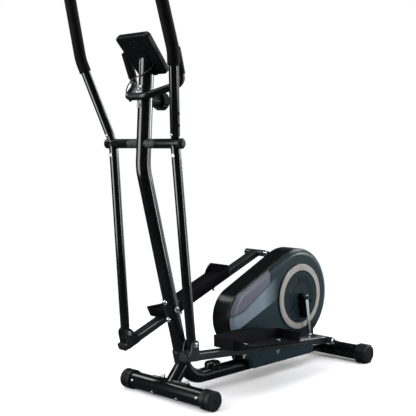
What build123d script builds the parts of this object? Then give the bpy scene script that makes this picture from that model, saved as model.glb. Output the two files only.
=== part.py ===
"""Elliptical trainer: a floor frame with a crank housing, two pedal bars and two swinging arms.

Millimetres, +Z up, +X towards the front stabiliser, +Y to the user's left.
The origin is on the floor under the middle of the overall box.
The rest pose of both sides is solved from the crank angle, so the loops close at any size.
"""
import cmath
import math
import os

from build123d import *

# Main layout: x values are measured from the front stabiliser's axis
X0 = 316.9                 # front stabiliser axis ahead of the origin
STAB_SPACING = 899.0       # front to rear stabiliser axis
AXLE_AHEAD = 113.0         # handlebar axle ahead of the front stabiliser
AXLE_Z = 883.0             # handlebar axle height
CRANK_BACK = 657.0         # crank shaft behind the front stabiliser
CRANK_Z = 283.5            # crank shaft height
CRANK_R = 161.0            # crank throw
CRANK_REST = 9.2           # left crank, degrees behind straight down
CRANK_SWEEP = 60.0         # crank travel from rest whose end pose closes both loops
ARM_R = 664.0              # axle to lower pivot on each swing arm
BAR_REACH = 729.8          # lower pivot to crank pin, along the bar
PIVOT_RISE = 41.5          # lower pivot above the bar's centre line
SIDE_Y = 153.0             # swing arms and pedal bars, off the middle plane

# Clearances
RUN = 0.05                 # shaft in a bore that turns, on the radius
SLIP = 0.1                 # fixed pieces that slide together, on the radius
END_GAP = 0.5              # between the end faces of turning pieces
FREE = 1.5                 # open gap between moving pieces

# Tubes
TUBE = 50.0                # post, beam and foot
TUBE_WALL = 2.5
ARM_TUBE = 32.0            # swing arm, handlebar and pivot sleeve
ARM_WALL = 2.0
STAB_TUBE = 60.0
STAB_WALL = 2.5
PULSE_TUBE = 25.0
PULSE_WALL = 2.0

# Stabilisers and their caps
STAB_HALF = 222.0
CAP_LEN = 46.0
CAP_GRIP = 30.0            # tube length inside a cap
FRONT_CAP_R = 34.5
REAR_CAP_R = 37.0
FRONT_BOLT_Y = 61.0
REAR_BOLT_Y = 50.0
BOLT_TILT = 42.0           # stabiliser bolts, degrees above level
SADDLE_T = 4.0
SADDLE_OVER = 24.0         # saddle length past each bolt
M8 = 4.0                   # bolt radii
M10 = 5.0
M6 = 3.0

# Post and beam
BEND_AHEAD = 114.4         # post bend
BEND_Z = 802.0
POST_LEAN = 14.87          # lower post, degrees forward
POST_TOP_LEAN = 3.14       # upper post, degrees back
POST_BEND_R = 160.0
POST_Z0 = 158.0            # lower end of the post
STUB_Z1 = 368.0            # top of the stub inside the post
STUB_ROOT = 14.0           # stub length welded inside the beam
STUB_WALL = 3.0
BEAM_Z = 52.0
BEAM_BEND_R = 100.0
FOOT_Z = 108.0             # where the foot meets the beam
BOSS_AT = 219.0            # cable boss on the beam, behind the front stabiliser
BOSS_SIZE = (62.0, 46.0, 18.0)
COLLAR_T = 4.0
COLLAR_LEN = 40.0          # Handlebar axle
POST_BOLT_Z = (346.0, 284.0)  # front bolts of the post joint
POST_SIDE_Z = 314.0        # side bolts of the same
AXLE_R = 10.0
SPACER_END = 66.0          # outer end of the plastic spacers
SLEEVE_BORE_R = 12.5
SLEEVE_OUT = 24.0          # sleeve past the arm's centre line
BUSH_LEN = 22.0
AXLE_CAP_R = 17.0
AXLE_CAP_LEN = 13.0        # Handlebars, in the arm's own frame with the axle at zero
HANDLE_FWD = 0.186         # forward per unit of height, below the bend
HANDLE_OUT = 0.278         # outward per unit of height, below the bend
GRIP_FWD = 0.170           # the same, above the bend
GRIP_OUT = -0.035
HANDLE_BEND_Z = 288.0
HANDLE_TOP_Z = 618.0
HANDLE_Z0 = 26.0           # lower end of the handlebar tube
STUB_TOP = 118.0           # top of the stub inside it
HANDLE_BEND_R = 120.0
GRIP_Z0 = 246.0
GRIP_R = 20.0
GRIP_END = 10.0
HANDLE_BOLT_Z = (62.0, 100.0)

# Lower pivots
ARM_TAIL = 20.0            # arm below its lower pivot
BUSH_R = 8.0
EAR_GAP = 0.5              # ear to arm tube
EAR_T = 4.0
EAR_W = 40.0
EAR_WEB = 14.0             # inner ear, further back along the bar
EAR_TOP_R = 16.0           # Pedal bars
BAR_W = 40.0
BAR_H = 25.0
BAR_WALL = 2.0
BAR_NOSE = 30.0            # bar ahead of the lower pivot
SLEEVE_HALF = 48.0         # rear cross sleeve, each side of the bar
SLEEVE_R = 13.0
PIN_R = 8.0
PLUG_T = 5.0

# Pedals, in the bar's own frame
TOE = 157.0                # toe end behind the lower pivot
HEEL = 522.0
TRAY_W = 123.0
TRAY_H = 38.0
TRAY_ARCH = 12.0           # rise of the inner wall, mid-length
TRAY_T = 4.0
TRAY_FLOOR = 6.0
TRAY_R = 20.0
TRAY_FLARE = 5.0           # wall lean, degrees
LIP_H = 9.0                # low outer side
TOE_RUN = 78.0             # length of the sloping side at the toe
HEEL_RUN = 36.0
RIB_COUNT = 11
PEDAL_BOLTS = (268.0, 454.0)

# Housing
HOUSE_R = 188.0            # round the crank
NOSE_R = 112.0
NOSE_BACK = 372.0          # nose centre behind the front stabiliser
NOSE_Z = 239.0
BAND_HALF = 42.0
BAND_WALL = 4.0
BAND_ROUND = 5.0
COVER_IN = 5.0             # cover edge inside the band's outline
COVER_FACE_IN = 30.0       # cover's flat inside the band's outline
COVER_MID_IN = 12.0        # the same at the turn between edge and flat
COVER_OUT = 54.0           # cover's flat, off the middle plane
COVER_MID = 49.0           # that turn, off the middle plane
COVER_T = 3.0
SKIRT_FRONT = 364.0        # skirt, behind the front stabiliser
SKIRT_BACK = 756.0
SKIRT_Z = 42.0
SKIRT_TOP = 150.0
SKIRT_IN = 30.0
SKIRT_SLANT = 29.0         # slanted front corner, length
SKIRT_RISE = 50.0          # and height
SKIRT_HEEL = 14.0
SKIRT_EDGE = 5.0
STAY_BACK = (464.0, 737.0)
STAY_Z = 53.0
RING_R = 130.0
RING_IN_R = 102.0
RING_H = 7.5               # Crank and drive
SHAFT_R = 7.0
SHELL_R = 25.0
BEARING_R = 20.0
BEARING_W = 14.0
CRANK_POST_W = 40.0
CRANK_POST_SINK = 20.0     # post's saddle cut below the beam's top
SHELL_Y = (-12.0, 42.0)
PULLEY_R = 105.0
SMALL_R = 18.0
BELT_Y = (-32.0, -18.0)
BELT_T = 3.0
BELT_GAP = 0.3
FLY_BACK = 408.0           # flywheel axle behind the front stabiliser
FLY_Z = 238.0
FLY_R = 92.0
FLY_Y = (-8.0, 20.0)
FORK_T = 5.0
FORK_W = 40.0
FORK_BASE = 22.0           # height of the fork's cross block
FORK_SINK = 6.0            # block's saddle cut below the beam's top
DISC_T = 5.0
ARM_T = 8.0
ARM_IN = 84.0              # inner face of the crank arm
EYE_R = 10.0
EYE_UP = 2.5
PIN_EYE_R = 11.0
ARM_NECK = 5.5             # Console, measured at its back face
CON_TOP = (171.0, 1228.0)
CON_BOTTOM = (68.5, 1109.1)
CON_W = 156.0
CON_LOW_W = 138.0          # width at its lower edge
CON_BACK_T = 15.0
CON_FRONT_T = 8.0
CON_WALL = 3.0
CON_ROUND = 14.0
LENS_W = 112.0
LENS_H = 58.0
LENS_UP = 20.0
LENS_EDGE = 4.0
LENS_T = 2.0
BUTTON_R = 8.0
BUTTON_STEP = 40.0
BUTTON_DOWN = 46.0
PLATE_T = 3.0
PLATE_EDGE = 4.0           # plate past the post, all round

# Hand pulse bar
PULSE_AHEAD = 139.0
PULSE_Z = 1037.0
PULSE_FLAT = 45.0
PULSE_KNEE = (44.0, 116.0, 1080.0)
PULSE_END = (80.0, 123.0, 1187.0)
PULSE_BENDS = 38.0
PULSE_KNEE_R = 28.0
PULSE_GRIP_R = 15.0
PULSE_GRIP_LEN = 92.0
CLAMP_T = 3.0
CLAMP_H = 72.0
CLAMP_BOLTS = 25.0

# Tension knob
KNOB_Z = 1025.0
KNOB_R = 31.0
KNOB_LEN = 27.0
KNOB_BACK = 58.0           # knob's front face behind the post axis
KNOB_BASE_R = 20.0
KNOB_FLUTES = 12

# Sensor wire: route points from the front stabiliser's axis
WIRE_R = 2.0
WIRE = (
    (102.97, 40.0, 1136.86),
    (125.7, 40.0, 1117.25),
    (132.0, 4.0, 1106.0),
    (118.0, -60.0, 1089.0),
    (96.0, -106.0, 1064.0),
    (97.0, -100.0, 1044.0),
    (104.0, -72.0, 1026.0),
    (121.0, -54.0, 1026.5),
)
SOCKET_R = 5.0
SOCKET_LEN = 9.0

LEFT = 1
RIGHT = -1
SIDES = {"left": LEFT, "right": RIGHT}

# Values that follow from the sizes above
AXLE_X = X0 + AXLE_AHEAD
CRANK_X = X0 - CRANK_BACK
REAR_X = X0 - STAB_SPACING
NOSE_X = X0 - NOSE_BACK
FLY_X = X0 - FLY_BACK
STAB_R = STAB_TUBE / 2
POST_R = TUBE / 2
ARM_TUBE_R = ARM_TUBE / 2
POST_SLOPE = math.tan(math.radians(POST_LEAN))
TOP_SLOPE = math.tan(math.radians(POST_TOP_LEAN))
SLEEVE_Y0 = SPACER_END + END_GAP
SLEEVE_Y1 = SIDE_Y + SLEEVE_OUT
EAR_IN = ARM_TUBE_R + EAR_GAP
EAR_OUT = EAR_IN + EAR_T
BAR_TOP = -PIVOT_RISE + BAR_H / 2
PIN_FACE = SIDE_Y - SLEEVE_HALF - FREE
FORK_Y = (BELT_Y[0] - 8.0, FLY_Y[1] + 6.0)


def vec(x, z, y=0.0):
    """Point from a side-view position."""
    return Vector(x, y, z)


def rod(a, b, r):
    """Solid cylinder between two points."""
    start = Vector(*a)
    run = Vector(*b) - start
    return Solid.make_cylinder(r, run.length, Plane(origin=start, z_dir=run))


def cone(a, b, r1, r2):
    """Solid frustum between two points."""
    start = Vector(*a)
    run = Vector(*b) - start
    return Solid.make_cone(r1, r2, run.length, Plane(origin=start, z_dir=run))


def pipe(a, b, ro, ri):
    """Hollow cylinder between two points."""
    return rod(a, b, ro) - rod(a, b, ri)


def bent(points, bends, ro, ri=0.0):
    """Round tube along straight runs joined by tangent arcs."""
    path = FilletPolyline(*points, radius=bends)
    face = Circle(ro)
    if ri:
        face = face - Circle(ri)
    return sweep(Plane(origin=path @ 0, z_dir=path % 0) * face, path=path)


def group(*items):
    """One node from several separate solids."""
    return Compound([s for item in items for s in item.solids()])


def screw(head, way, r, length, head_r, head_h):
    """Round-headed bolt: way points from the head into the work."""
    seat = Vector(*head)
    into = Vector(*way).normalized()
    shank = rod(seat, seat + into * length, r)
    rim = rod(seat - into * (head_h * 0.45), seat, head_r)
    dome = cone(seat - into * head_h, seat - into * (head_h * 0.45), head_r * 0.55, head_r)
    return shank + rim + dome


def hexagon(seat, way, r, h):
    """Six-sided nut: way points out of the seat."""
    start = Vector(*seat)
    plane = Plane(origin=start, z_dir=Vector(*way))
    return extrude(plane * RegularPolygon(r, 6), amount=h)


def hull_face(c1, r1, c2, r2):
    """Outline round two circles in side view, as a face on the middle plane."""
    dx = c2[0] - c1[0]
    dz = c2[1] - c1[1]
    base = math.atan2(dz, dx)
    lean = math.acos((r1 - r2) / math.hypot(dx, dz))

    def on(c, r, a):
        return (c[0] + r * math.cos(a), c[1] + r * math.sin(a))

    k1 = on(c1, r1, base + lean)
    n1 = on(c2, r2, base + lean)
    n2 = on(c2, r2, base - lean)
    k2 = on(c1, r1, base - lean)
    edges = [
        Line(k1, n1),
        ThreePointArc(n1, on(c2, r2, base), n2),
        Line(n2, k2),
        ThreePointArc(k2, on(c1, r1, base + math.pi), k1),
    ]
    return Plane.XZ * Face(Wire(edges))


def teardrop(inset):
    """Housing outline, moved in by inset."""
    return hull_face((CRANK_X, CRANK_Z), HOUSE_R - inset, (NOSE_X, NOSE_Z), NOSE_R - inset)


def slab(face, y0, y1):
    """Side-view face given thickness across the machine."""
    return Pos(0, y0, 0) * extrude(face, amount=y1 - y0, dir=(0, 1, 0))


def block(x0, x1, y0, y1, z0, z1):
    """Box between limits."""
    size = Box(x1 - x0, y1 - y0, z1 - z0)
    return Pos((x0 + x1) / 2, (y0 + y1) / 2, (z0 + z1) / 2) * size


def other_side(shape):
    """The same piece on the right-hand side."""
    return mirror(shape, about=Plane.XZ)


def turned(x, z, angle, shape):
    """Piece built round a pivot, set at that pivot and turned about +Y."""
    return Pos(x, 0, z) * (Rot(0, angle, 0) * shape)


def post_x(z):
    """Lower post's axis at a height."""
    return X0 + BEND_AHEAD + (z - BEND_Z) * POST_SLOPE


def post_top_x(z):
    """Upper post's axis at a height."""
    return X0 + BEND_AHEAD - (z - BEND_Z) * TOP_SLOPE


def side_pose(crank_deg, side):
    """Arm angle, bar angle and lower pivot of one side, from the closed four-bar loop."""
    axle = complex(AXLE_X, AXLE_Z)
    turn = crank_deg + (0.0 if side == LEFT else 180.0)
    pin = complex(CRANK_X, CRANK_Z) + complex(0, -CRANK_R) * cmath.exp(-1j * math.radians(turn))
    bar = complex(-BAR_REACH, -PIVOT_RISE)
    gap = abs(pin - axle)
    along = (ARM_R ** 2 - abs(bar) ** 2 + gap ** 2) / (2 * gap)
    rise = math.sqrt(ARM_R ** 2 - along ** 2)
    unit = (pin - axle) / gap
    pivot = max((axle + unit * complex(along, s * rise) for s in (1, -1)), key=lambda c: c.real)
    arm_deg = math.degrees(cmath.phase(complex(0, -ARM_R)) - cmath.phase(pivot - axle))
    bar_deg = math.degrees(cmath.phase(bar) - cmath.phase(pin - pivot))
    return arm_deg, (bar_deg + 180.0) % 360.0 - 180.0, pivot


# Stabilisers

def stab_bolt_way(front):
    """Direction of the stabiliser bolts, from the head into the tube."""
    tilt = math.radians(BOLT_TILT)
    return Vector(-math.cos(tilt) if front else math.cos(tilt), 0, math.sin(tilt))


def stab_bolts(front):
    """The pair of bolts that hold one stabiliser to its saddle."""
    x = X0 if front else REAR_X
    z = FRONT_CAP_R if front else REAR_CAP_R
    off = FRONT_BOLT_Y if front else REAR_BOLT_Y
    way = stab_bolt_way(front)
    made = []
    for y in (-off, off):
        mid = vec(x, z, y)
        made.append(screw(mid - way * STAB_R, way, M8, TUBE + 7 * M8, 2.1 * M8, M8))
        seat = mid + way * (STAB_R + SADDLE_T)
        made.append(hexagon(seat, way, 2.1 * M8, 2.2 * M8) - rod(seat, seat + way * 40, M8))
    return made


def saddle(front):
    """Curved plate and bolt lugs under the end of the frame."""
    x = X0 if front else REAR_X
    z = FRONT_CAP_R if front else REAR_CAP_R
    half = (FRONT_BOLT_Y if front else REAR_BOLT_Y) + SADDLE_OVER
    shell = pipe((x, -half, z), (x, half, z), STAB_R + SADDLE_T, STAB_R)
    way = stab_bolt_way(front)
    frame = Plane(origin=vec(x, z), x_dir=(0, 1, 0), z_dir=way)
    keep = frame * Pos(0, 0, STAB_R) * Box(2 * half, 1.5 * STAB_R, 1.3 * STAB_R)
    return shell & keep


def stab_holes(front):
    """Cutters for the stabiliser bolts."""
    x = X0 if front else REAR_X
    z = FRONT_CAP_R if front else REAR_CAP_R
    off = FRONT_BOLT_Y if front else REAR_BOLT_Y
    way = stab_bolt_way(front)
    return [rod(vec(x, z, y) - way * 60, vec(x, z, y) + way * 60, M8 + SLIP) for y in (-off, off)]


def stabiliser(front):
    """Round floor tube with its bolt holes."""
    x = X0 if front else REAR_X
    z = FRONT_CAP_R if front else REAR_CAP_R
    half = STAB_HALF - CAP_LEN + CAP_GRIP
    body = pipe((x, -half, z), (x, half, z), STAB_R, STAB_R - STAB_WALL)
    for hole in stab_holes(front):
        body = body - hole
    return body


def front_cap():
    """Left roller-style end cap with a notched collar."""
    y0 = STAB_HALF - CAP_LEN
    z = FRONT_CAP_R
    body = rod((X0, y0, z), (X0, STAB_HALF - 3, z), FRONT_CAP_R)
    body = body + cone((X0, STAB_HALF - 3, z), (X0, STAB_HALF, z), FRONT_CAP_R, FRONT_CAP_R - 3)
    body = body - rod((X0, y0 - 1, z), (X0, y0 + CAP_GRIP, z), STAB_R)
    groove = pipe((X0, y0 + 20, z), (X0, y0 + 24, z), FRONT_CAP_R + 1, FRONT_CAP_R - 2.5)
    body = body - groove
    for k in range(8):
        notch = Pos(0, 0, FRONT_CAP_R) * Box(7, 22, 4)
        body = body - Pos(X0, y0 + 31, z) * (Rot(0, 22.5 + 45 * k, 0) * notch)
    return body - rod((X0, STAB_HALF - 4, z), (X0, STAB_HALF + 1, z), 4)


def rear_cap():
    """Left levelling cap: eight-sided, with a flat end disc."""
    y0 = STAB_HALF - CAP_LEN
    z = REAR_CAP_R
    plane = Plane(origin=(REAR_X, y0, z), x_dir=(1, 0, 0), z_dir=(0, 1, 0))
    eight = RegularPolygon(REAR_CAP_R, 8, major_radius=False, rotation=22.5)
    body = extrude(plane * fillet(eight.vertices(), 9), amount=CAP_LEN - 3)
    body = body + cone((REAR_X, STAB_HALF - 3, z), (REAR_X, STAB_HALF, z), REAR_CAP_R - 2, REAR_CAP_R - 6)
    body = body - rod((REAR_X, y0 - 1, z), (REAR_X, y0 + CAP_GRIP, z), STAB_R)
    ring = pipe((REAR_X, STAB_HALF - 1.5, z), (REAR_X, STAB_HALF + 1, z), 25, 23)
    return body - ring


# Frame

def beam_boss():
    """Rounded boss on top of the beam, where the brake cable goes in."""
    long, wide, rise = BOSS_SIZE
    boss = extrude(RectangleRounded(long, wide, wide * 0.45), amount=POST_R + rise)
    boss = fillet(boss.faces().sort_by(Axis.Z)[-1].edges(), rise * 0.6)
    return Pos(X0 - BOSS_AT, 0, BEAM_Z) * boss


def beam():
    """Welded beam: stub, bent tube, foot, saddles and cover stays."""
    low = vec(post_x(BEAM_Z), BEAM_Z)
    joint = vec(post_x(POST_Z0), POST_Z0)
    end = vec(REAR_X + STAB_R * 0.5, BEAM_Z)
    tube = bent([joint, low, end], BEAM_BEND_R, POST_R, POST_R - TUBE_WALL)
    stub_r = POST_R - TUBE_WALL - SLIP
    root = post_axis_at(POST_Z0 - STUB_ROOT)
    stub = pipe(root, post_axis_at(STUB_Z1), stub_r, stub_r - STUB_WALL)
    weld = pipe(root, joint, POST_R - TUBE_WALL / 2, stub_r - STUB_WALL)
    foot_top = vec(post_x(FOOT_Z) + 4, FOOT_Z)
    foot = pipe(foot_top, vec(X0, FRONT_CAP_R), POST_R, POST_R - TUBE_WALL)
    hollow = rod(joint, low + Vector(0, 0, 40), POST_R - TUBE_WALL)
    made = tube + stub + weld + (foot - hollow) + ((stays() + beam_boss()) - hollow_beam())
    for front in (True, False):
        x = X0 if front else REAR_X
        z = FRONT_CAP_R if front else REAR_CAP_R
        made = made - rod((x, -STAB_HALF, z), (x, STAB_HALF, z), STAB_R)
        made = made + saddle(front)
        for hole in stab_holes(front):
            made = made - hole
    for head, way, r in post_bolt_spots():
        made = made - rod(head, Vector(*head) + Vector(*way) * (TUBE - TUBE_WALL), r + SLIP)
    return made


def hollow_beam():
    """Inside of the level part of the beam."""
    return rod(vec(REAR_X, BEAM_Z), vec(NOSE_X, BEAM_Z), POST_R - TUBE_WALL)


def crank_post():
    """Crank shell on a rectangular tube that stands on the beam."""
    y0, y1 = SHELL_Y
    mid = (y0 + y1) / 2
    half = CRANK_POST_W / 2
    low = BEAM_Z + POST_R - CRANK_POST_SINK
    tube = block(CRANK_X - half, CRANK_X + half, mid - half, mid + half, low, CRANK_Z)
    tube = fillet(tube.edges().filter_by(Axis.Z), 5)
    inner = half - TUBE_WALL
    tube = tube - block(CRANK_X - inner, CRANK_X + inner, mid - inner, mid + inner, low - 1, CRANK_Z)
    tube = tube - rod(vec(CRANK_X - TUBE, BEAM_Z), vec(CRANK_X + TUBE, BEAM_Z), POST_R)
    shell = rod((CRANK_X, y0, CRANK_Z), (CRANK_X, y1, CRANK_Z), SHELL_R)
    return tube + shell - rod((CRANK_X, y0 - 1, CRANK_Z), (CRANK_X, y1 + 1, CRANK_Z), BEARING_R)


def fork():
    """Two plates that carry the flywheel axle, on a cross block over the beam."""
    half = FORK_W / 2
    low = BEAM_Z + POST_R - FORK_SINK
    made = block(FLY_X - half, FLY_X + half, FORK_Y[0], FORK_Y[1] + FORK_T, low, low + FORK_BASE)
    made = made - rod(vec(FLY_X - FORK_W, BEAM_Z), vec(FLY_X + FORK_W, BEAM_Z), POST_R)
    for y in FORK_Y:
        plate = block(FLY_X - half, FLY_X + half, y, y + FORK_T, low, FLY_Z)
        made = made + plate + rod((FLY_X, y, FLY_Z), (FLY_X, y + FORK_T, FLY_Z), half)
    return made - rod((FLY_X, -60, FLY_Z), (FLY_X, 60, FLY_Z), M10 + SLIP)


def stays():
    """Cross rods that carry the lower edge of the covers."""
    end = COVER_OUT - COVER_T
    made = None
    for back in STAY_BACK:
        x = X0 - back
        stay = rod((x, -end, STAY_Z), (x, end, STAY_Z), 7)
        made = stay if made is None else made + stay
    for y in (-end - 1, end - 19):
        for back in STAY_BACK:
            x = X0 - back
            made = made - rod((x, y, STAY_Z), (x, y + 20, STAY_Z), M6)
    return made


def post_axis_at(z):
    """Point on the lower post's axis."""
    return vec(post_x(z), z)


def post_bolt_spots():
    """Head seat, direction and radius of each bolt through the post's lower end."""
    up = Vector(math.sin(math.radians(POST_LEAN)), 0, math.cos(math.radians(POST_LEAN)))
    ahead = Vector(up.Z, 0, -up.X)
    spots = []
    for z in POST_BOLT_Z:
        spots.append((post_axis_at(z) + ahead * POST_R, ahead * -1, M8))
    for side in (LEFT, RIGHT):
        spots.append((post_axis_at(POST_SIDE_Z) + Vector(0, side * POST_R, 0), Vector(0, -side, 0), M8))
    return spots


def post_bolts():
    """Bolts with washers that clamp the post on the stub."""
    made = []
    for head, way, r in post_bolt_spots():
        seat = Vector(*head)
        into = Vector(*way)
        washer = pipe(seat - into * 2, seat + into * 3, 2.4 * r, r) - post_core()
        made.append(washer + screw(seat - into * 2, into, r, POST_R - 3, 1.8 * r, 1.1 * r))
    return group(*made)


def post_core():
    """Solid in the place of the lower post."""
    return rod(post_axis_at(POST_Z0), post_axis_at(BEND_Z - 60), POST_R)


def console_plane():
    """Plane of the console's back face, with its normal towards the user."""
    run = vec(*CON_TOP) - vec(*CON_BOTTOM)
    mid = (vec(*CON_TOP) + vec(*CON_BOTTOM)) * 0.5 + Vector(X0, 0, 0)
    along = run.normalized()
    return Plane(origin=mid, x_dir=(0, -1, 0), z_dir=(-along.Z, 0, along.X))


def post():
    """Bent main post, cut to the console plate at its top."""
    top = CON_TOP[1]
    points = [post_axis_at(POST_Z0), vec(X0 + BEND_AHEAD, BEND_Z), vec(post_top_x(top), top)]
    body = bent(points, POST_BEND_R, POST_R, POST_R - TUBE_WALL)
    beyond = console_plane() * Pos(0, 0, 100 - PLATE_T) * Box(400, 400, 200)
    body = body - beyond - rod((AXLE_X, -60, AXLE_Z), (AXLE_X, 60, AXLE_Z), AXLE_R)
    for head, way, r in post_bolt_spots():
        body = body - rod(Vector(*head) - Vector(*way) * 5, Vector(*head) + Vector(*way) * 9, r + SLIP)
    for seat in clamp_seats():
        body = body - rod(seat + Vector(9, 0, 0), seat - Vector(12, 0, 0), M6 + SLIP)
    x = post_top_x(KNOB_Z)
    return body - rod((x - 40, 0, KNOB_Z), (x, 0, KNOB_Z), M10)


def post_collar():
    """Moulded collar over the joint of post, foot and beam."""
    low = POST_Z0 - COLLAR_LEN * 0.9
    high = POST_Z0 + COLLAR_LEN * 0.1
    body = pipe(post_axis_at(POST_Z0), post_axis_at(high), POST_R + COLLAR_T, POST_R)
    lip = cone(post_axis_at(high), post_axis_at(high + 6), POST_R + COLLAR_T, POST_R + 1)
    body = body + (lip - rod(post_axis_at(high - 1), post_axis_at(high + 7), POST_R))
    skirt = pipe(post_axis_at(low), post_axis_at(POST_Z0), POST_R + COLLAR_T, POST_R)
    foot_top = vec(post_x(FOOT_Z) + 4, FOOT_Z)
    skirt = skirt - rod(foot_top, vec(X0, FRONT_CAP_R), POST_R)
    beam = bent([post_axis_at(POST_Z0), vec(post_x(BEAM_Z), BEAM_Z), vec(CRANK_X, BEAM_Z)], BEAM_BEND_R, POST_R)
    return body + (skirt - beam)


def axle():
    """Steel rod through the post that carries both arms."""
    end = SLEEVE_Y1 + END_GAP + AXLE_CAP_LEN * 0.5
    return rod((AXLE_X, -end, AXLE_Z), (AXLE_X, end, AXLE_Z), AXLE_R)


def axle_spacers():
    """Plastic spacers between the post and the arm sleeves."""
    spacer = pipe((AXLE_X, 5, AXLE_Z), (AXLE_X, SPACER_END, AXLE_Z), ARM_TUBE_R, AXLE_R)
    spacer = spacer - rod(vec(post_top_x(BEND_Z), BEND_Z), vec(post_top_x(AXLE_Z + 90), AXLE_Z + 90), POST_R)
    return group(spacer, other_side(spacer))


def axle_caps():
    """Domed caps on the ends of the axle."""
    y0 = SLEEVE_Y1 + END_GAP
    y1 = y0 + AXLE_CAP_LEN
    mid = y0 + AXLE_CAP_LEN * 0.45
    cap = rod((AXLE_X, y0, AXLE_Z), (AXLE_X, mid, AXLE_Z), AXLE_CAP_R)
    cap = cap + cone((AXLE_X, mid, AXLE_Z), (AXLE_X, y1 - 4, AXLE_Z), AXLE_CAP_R, AXLE_CAP_R * 0.8)
    cap = cap + cone((AXLE_X, y1 - 4, AXLE_Z), (AXLE_X, y1, AXLE_Z), AXLE_CAP_R * 0.8, AXLE_CAP_R * 0.45)
    cap = cap - rod((AXLE_X, 0, AXLE_Z), (AXLE_X, y0 + AXLE_CAP_LEN * 0.5, AXLE_Z), AXLE_R)
    return group(cap, other_side(cap))


# Console

def console_size():
    """Console length along its tilt."""
    return (vec(*CON_TOP) - vec(*CON_BOTTOM)).length


def console_face(inset):
    """Outline of the console, narrower below, moved in by inset."""
    rise = console_size() / 2 - inset
    top = CON_W / 2 - inset
    low = CON_LOW_W / 2 - inset
    face = Polygon((-low, -rise), (low, -rise), (top, rise), (-top, rise), align=None)
    return fillet(face.vertices(), CON_ROUND - inset)


def console_back():
    """Hollow back shell with vent slots."""
    tall = console_size()
    shell = extrude(console_face(0), amount=CON_BACK_T)
    shell = fillet(shell.faces().sort_by(Axis.Z)[0].edges(), 6)
    inner = console_face(CON_WALL)
    shell = shell - Pos(0, 0, CON_WALL) * extrude(inner, amount=CON_BACK_T)
    seat = console_plane().to_local_coords(wire_points()[0])
    shell = shell + Pos(seat.X, seat.Y, 0) * extrude(Circle(SOCKET_R), amount=seat.Z)
    for k in range(5):
        slot = Pos(0, tall / 2 - 16 - 6 * k, 0) * Box(50 - 4 * k, 2.5, 4 * CON_WALL)
        shell = shell - slot
    return console_plane() * shell


def console_front():
    """Bezel with a display window and three button holes."""
    body = extrude(console_face(0), amount=CON_FRONT_T)
    body = fillet(body.faces().sort_by(Axis.Z)[-1].edges(), 5)
    inner = console_face(CON_WALL)
    body = body - Pos(0, 0, -CON_WALL) * extrude(inner, amount=CON_FRONT_T)
    body = body - Pos(0, LENS_UP, 0) * Box(LENS_W, LENS_H, 4 * CON_FRONT_T)
    for k in (-1, 0, 1):
        body = body - Pos(k * BUTTON_STEP, -BUTTON_DOWN, 0) * Cylinder(BUTTON_R + END_GAP, 4 * CON_FRONT_T)
    return console_plane() * (Pos(0, 0, CON_BACK_T) * body)


def button_seat():
    """Height of the bezel's inner face above the console's back."""
    return CON_BACK_T + CON_FRONT_T - CON_WALL


def console_lens():
    """Clear window behind the bezel."""
    lens = Box(LENS_W + 2 * LENS_EDGE, LENS_H + 2 * LENS_EDGE, LENS_T)
    return console_plane() * (Pos(0, LENS_UP, button_seat() - LENS_T / 2) * lens)


def console_button(k):
    """Push button with a flange under the bezel."""
    cap = Pos(0, 0, button_seat() - 1) * extrude(Circle(BUTTON_R), amount=CON_WALL + 3)
    cap = chamfer(cap.faces().sort_by(Axis.Z)[-1].edges(), 1)
    flange = Pos(0, 0, button_seat() - 2) * extrude(Circle(BUTTON_R + 3), amount=2)
    return console_plane() * (Pos(k * BUTTON_STEP, -BUTTON_DOWN, 0) * (cap + flange))


def post_end():
    """Where the post's axis meets the console plate, in the console's plane."""
    plane = console_plane()
    low = vec(post_top_x(BEND_Z), BEND_Z)
    run = vec(post_top_x(BEND_Z + 1), BEND_Z + 1) - low
    way = plane.z_dir
    t = (plane.origin - low).dot(way) / run.dot(way)
    return plane.to_local_coords(low + run * t), abs(run.normalized().dot(way))


def console_bracket():
    """Plate between the post's slanted end and the console, with its screws."""
    spot, lean = post_end()
    wide = TUBE + 2 * PLATE_EDGE
    tall = TUBE / lean + 2 * PLATE_EDGE
    plate = Pos(0, spot.Y, 0) * extrude(RectangleRounded(wide, tall, PLATE_EDGE), amount=-PLATE_T)
    for sx in (-1, 1):
        for sy in (-1, 1):
            corner = Pos(sx * (wide / 2 - PLATE_EDGE), spot.Y + sy * (tall / 2 - PLATE_EDGE), -PLATE_T - M6 / 2)
            plate = plate + corner * Cylinder(M6, M6)
    return console_plane() * plate


# Hand pulse bar

def pulse_points():
    """Route of the hand pulse bar, right end to left end."""
    half = [(PULSE_AHEAD, PULSE_FLAT, PULSE_Z), PULSE_KNEE, PULSE_END]
    right = [Vector(X0 + x, -y, z) for x, y, z in reversed(half)]
    left = [Vector(X0 + x, y, z) for x, y, z in half]
    return right + left


def clamp_seats():
    """Bolt seats on the front of the post."""
    seats = []
    for dz in (-CLAMP_BOLTS, CLAMP_BOLTS):
        z = PULSE_Z + dz
        seats.append(Vector(post_top_x(z) + POST_R, 0, z))
    return seats


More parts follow.
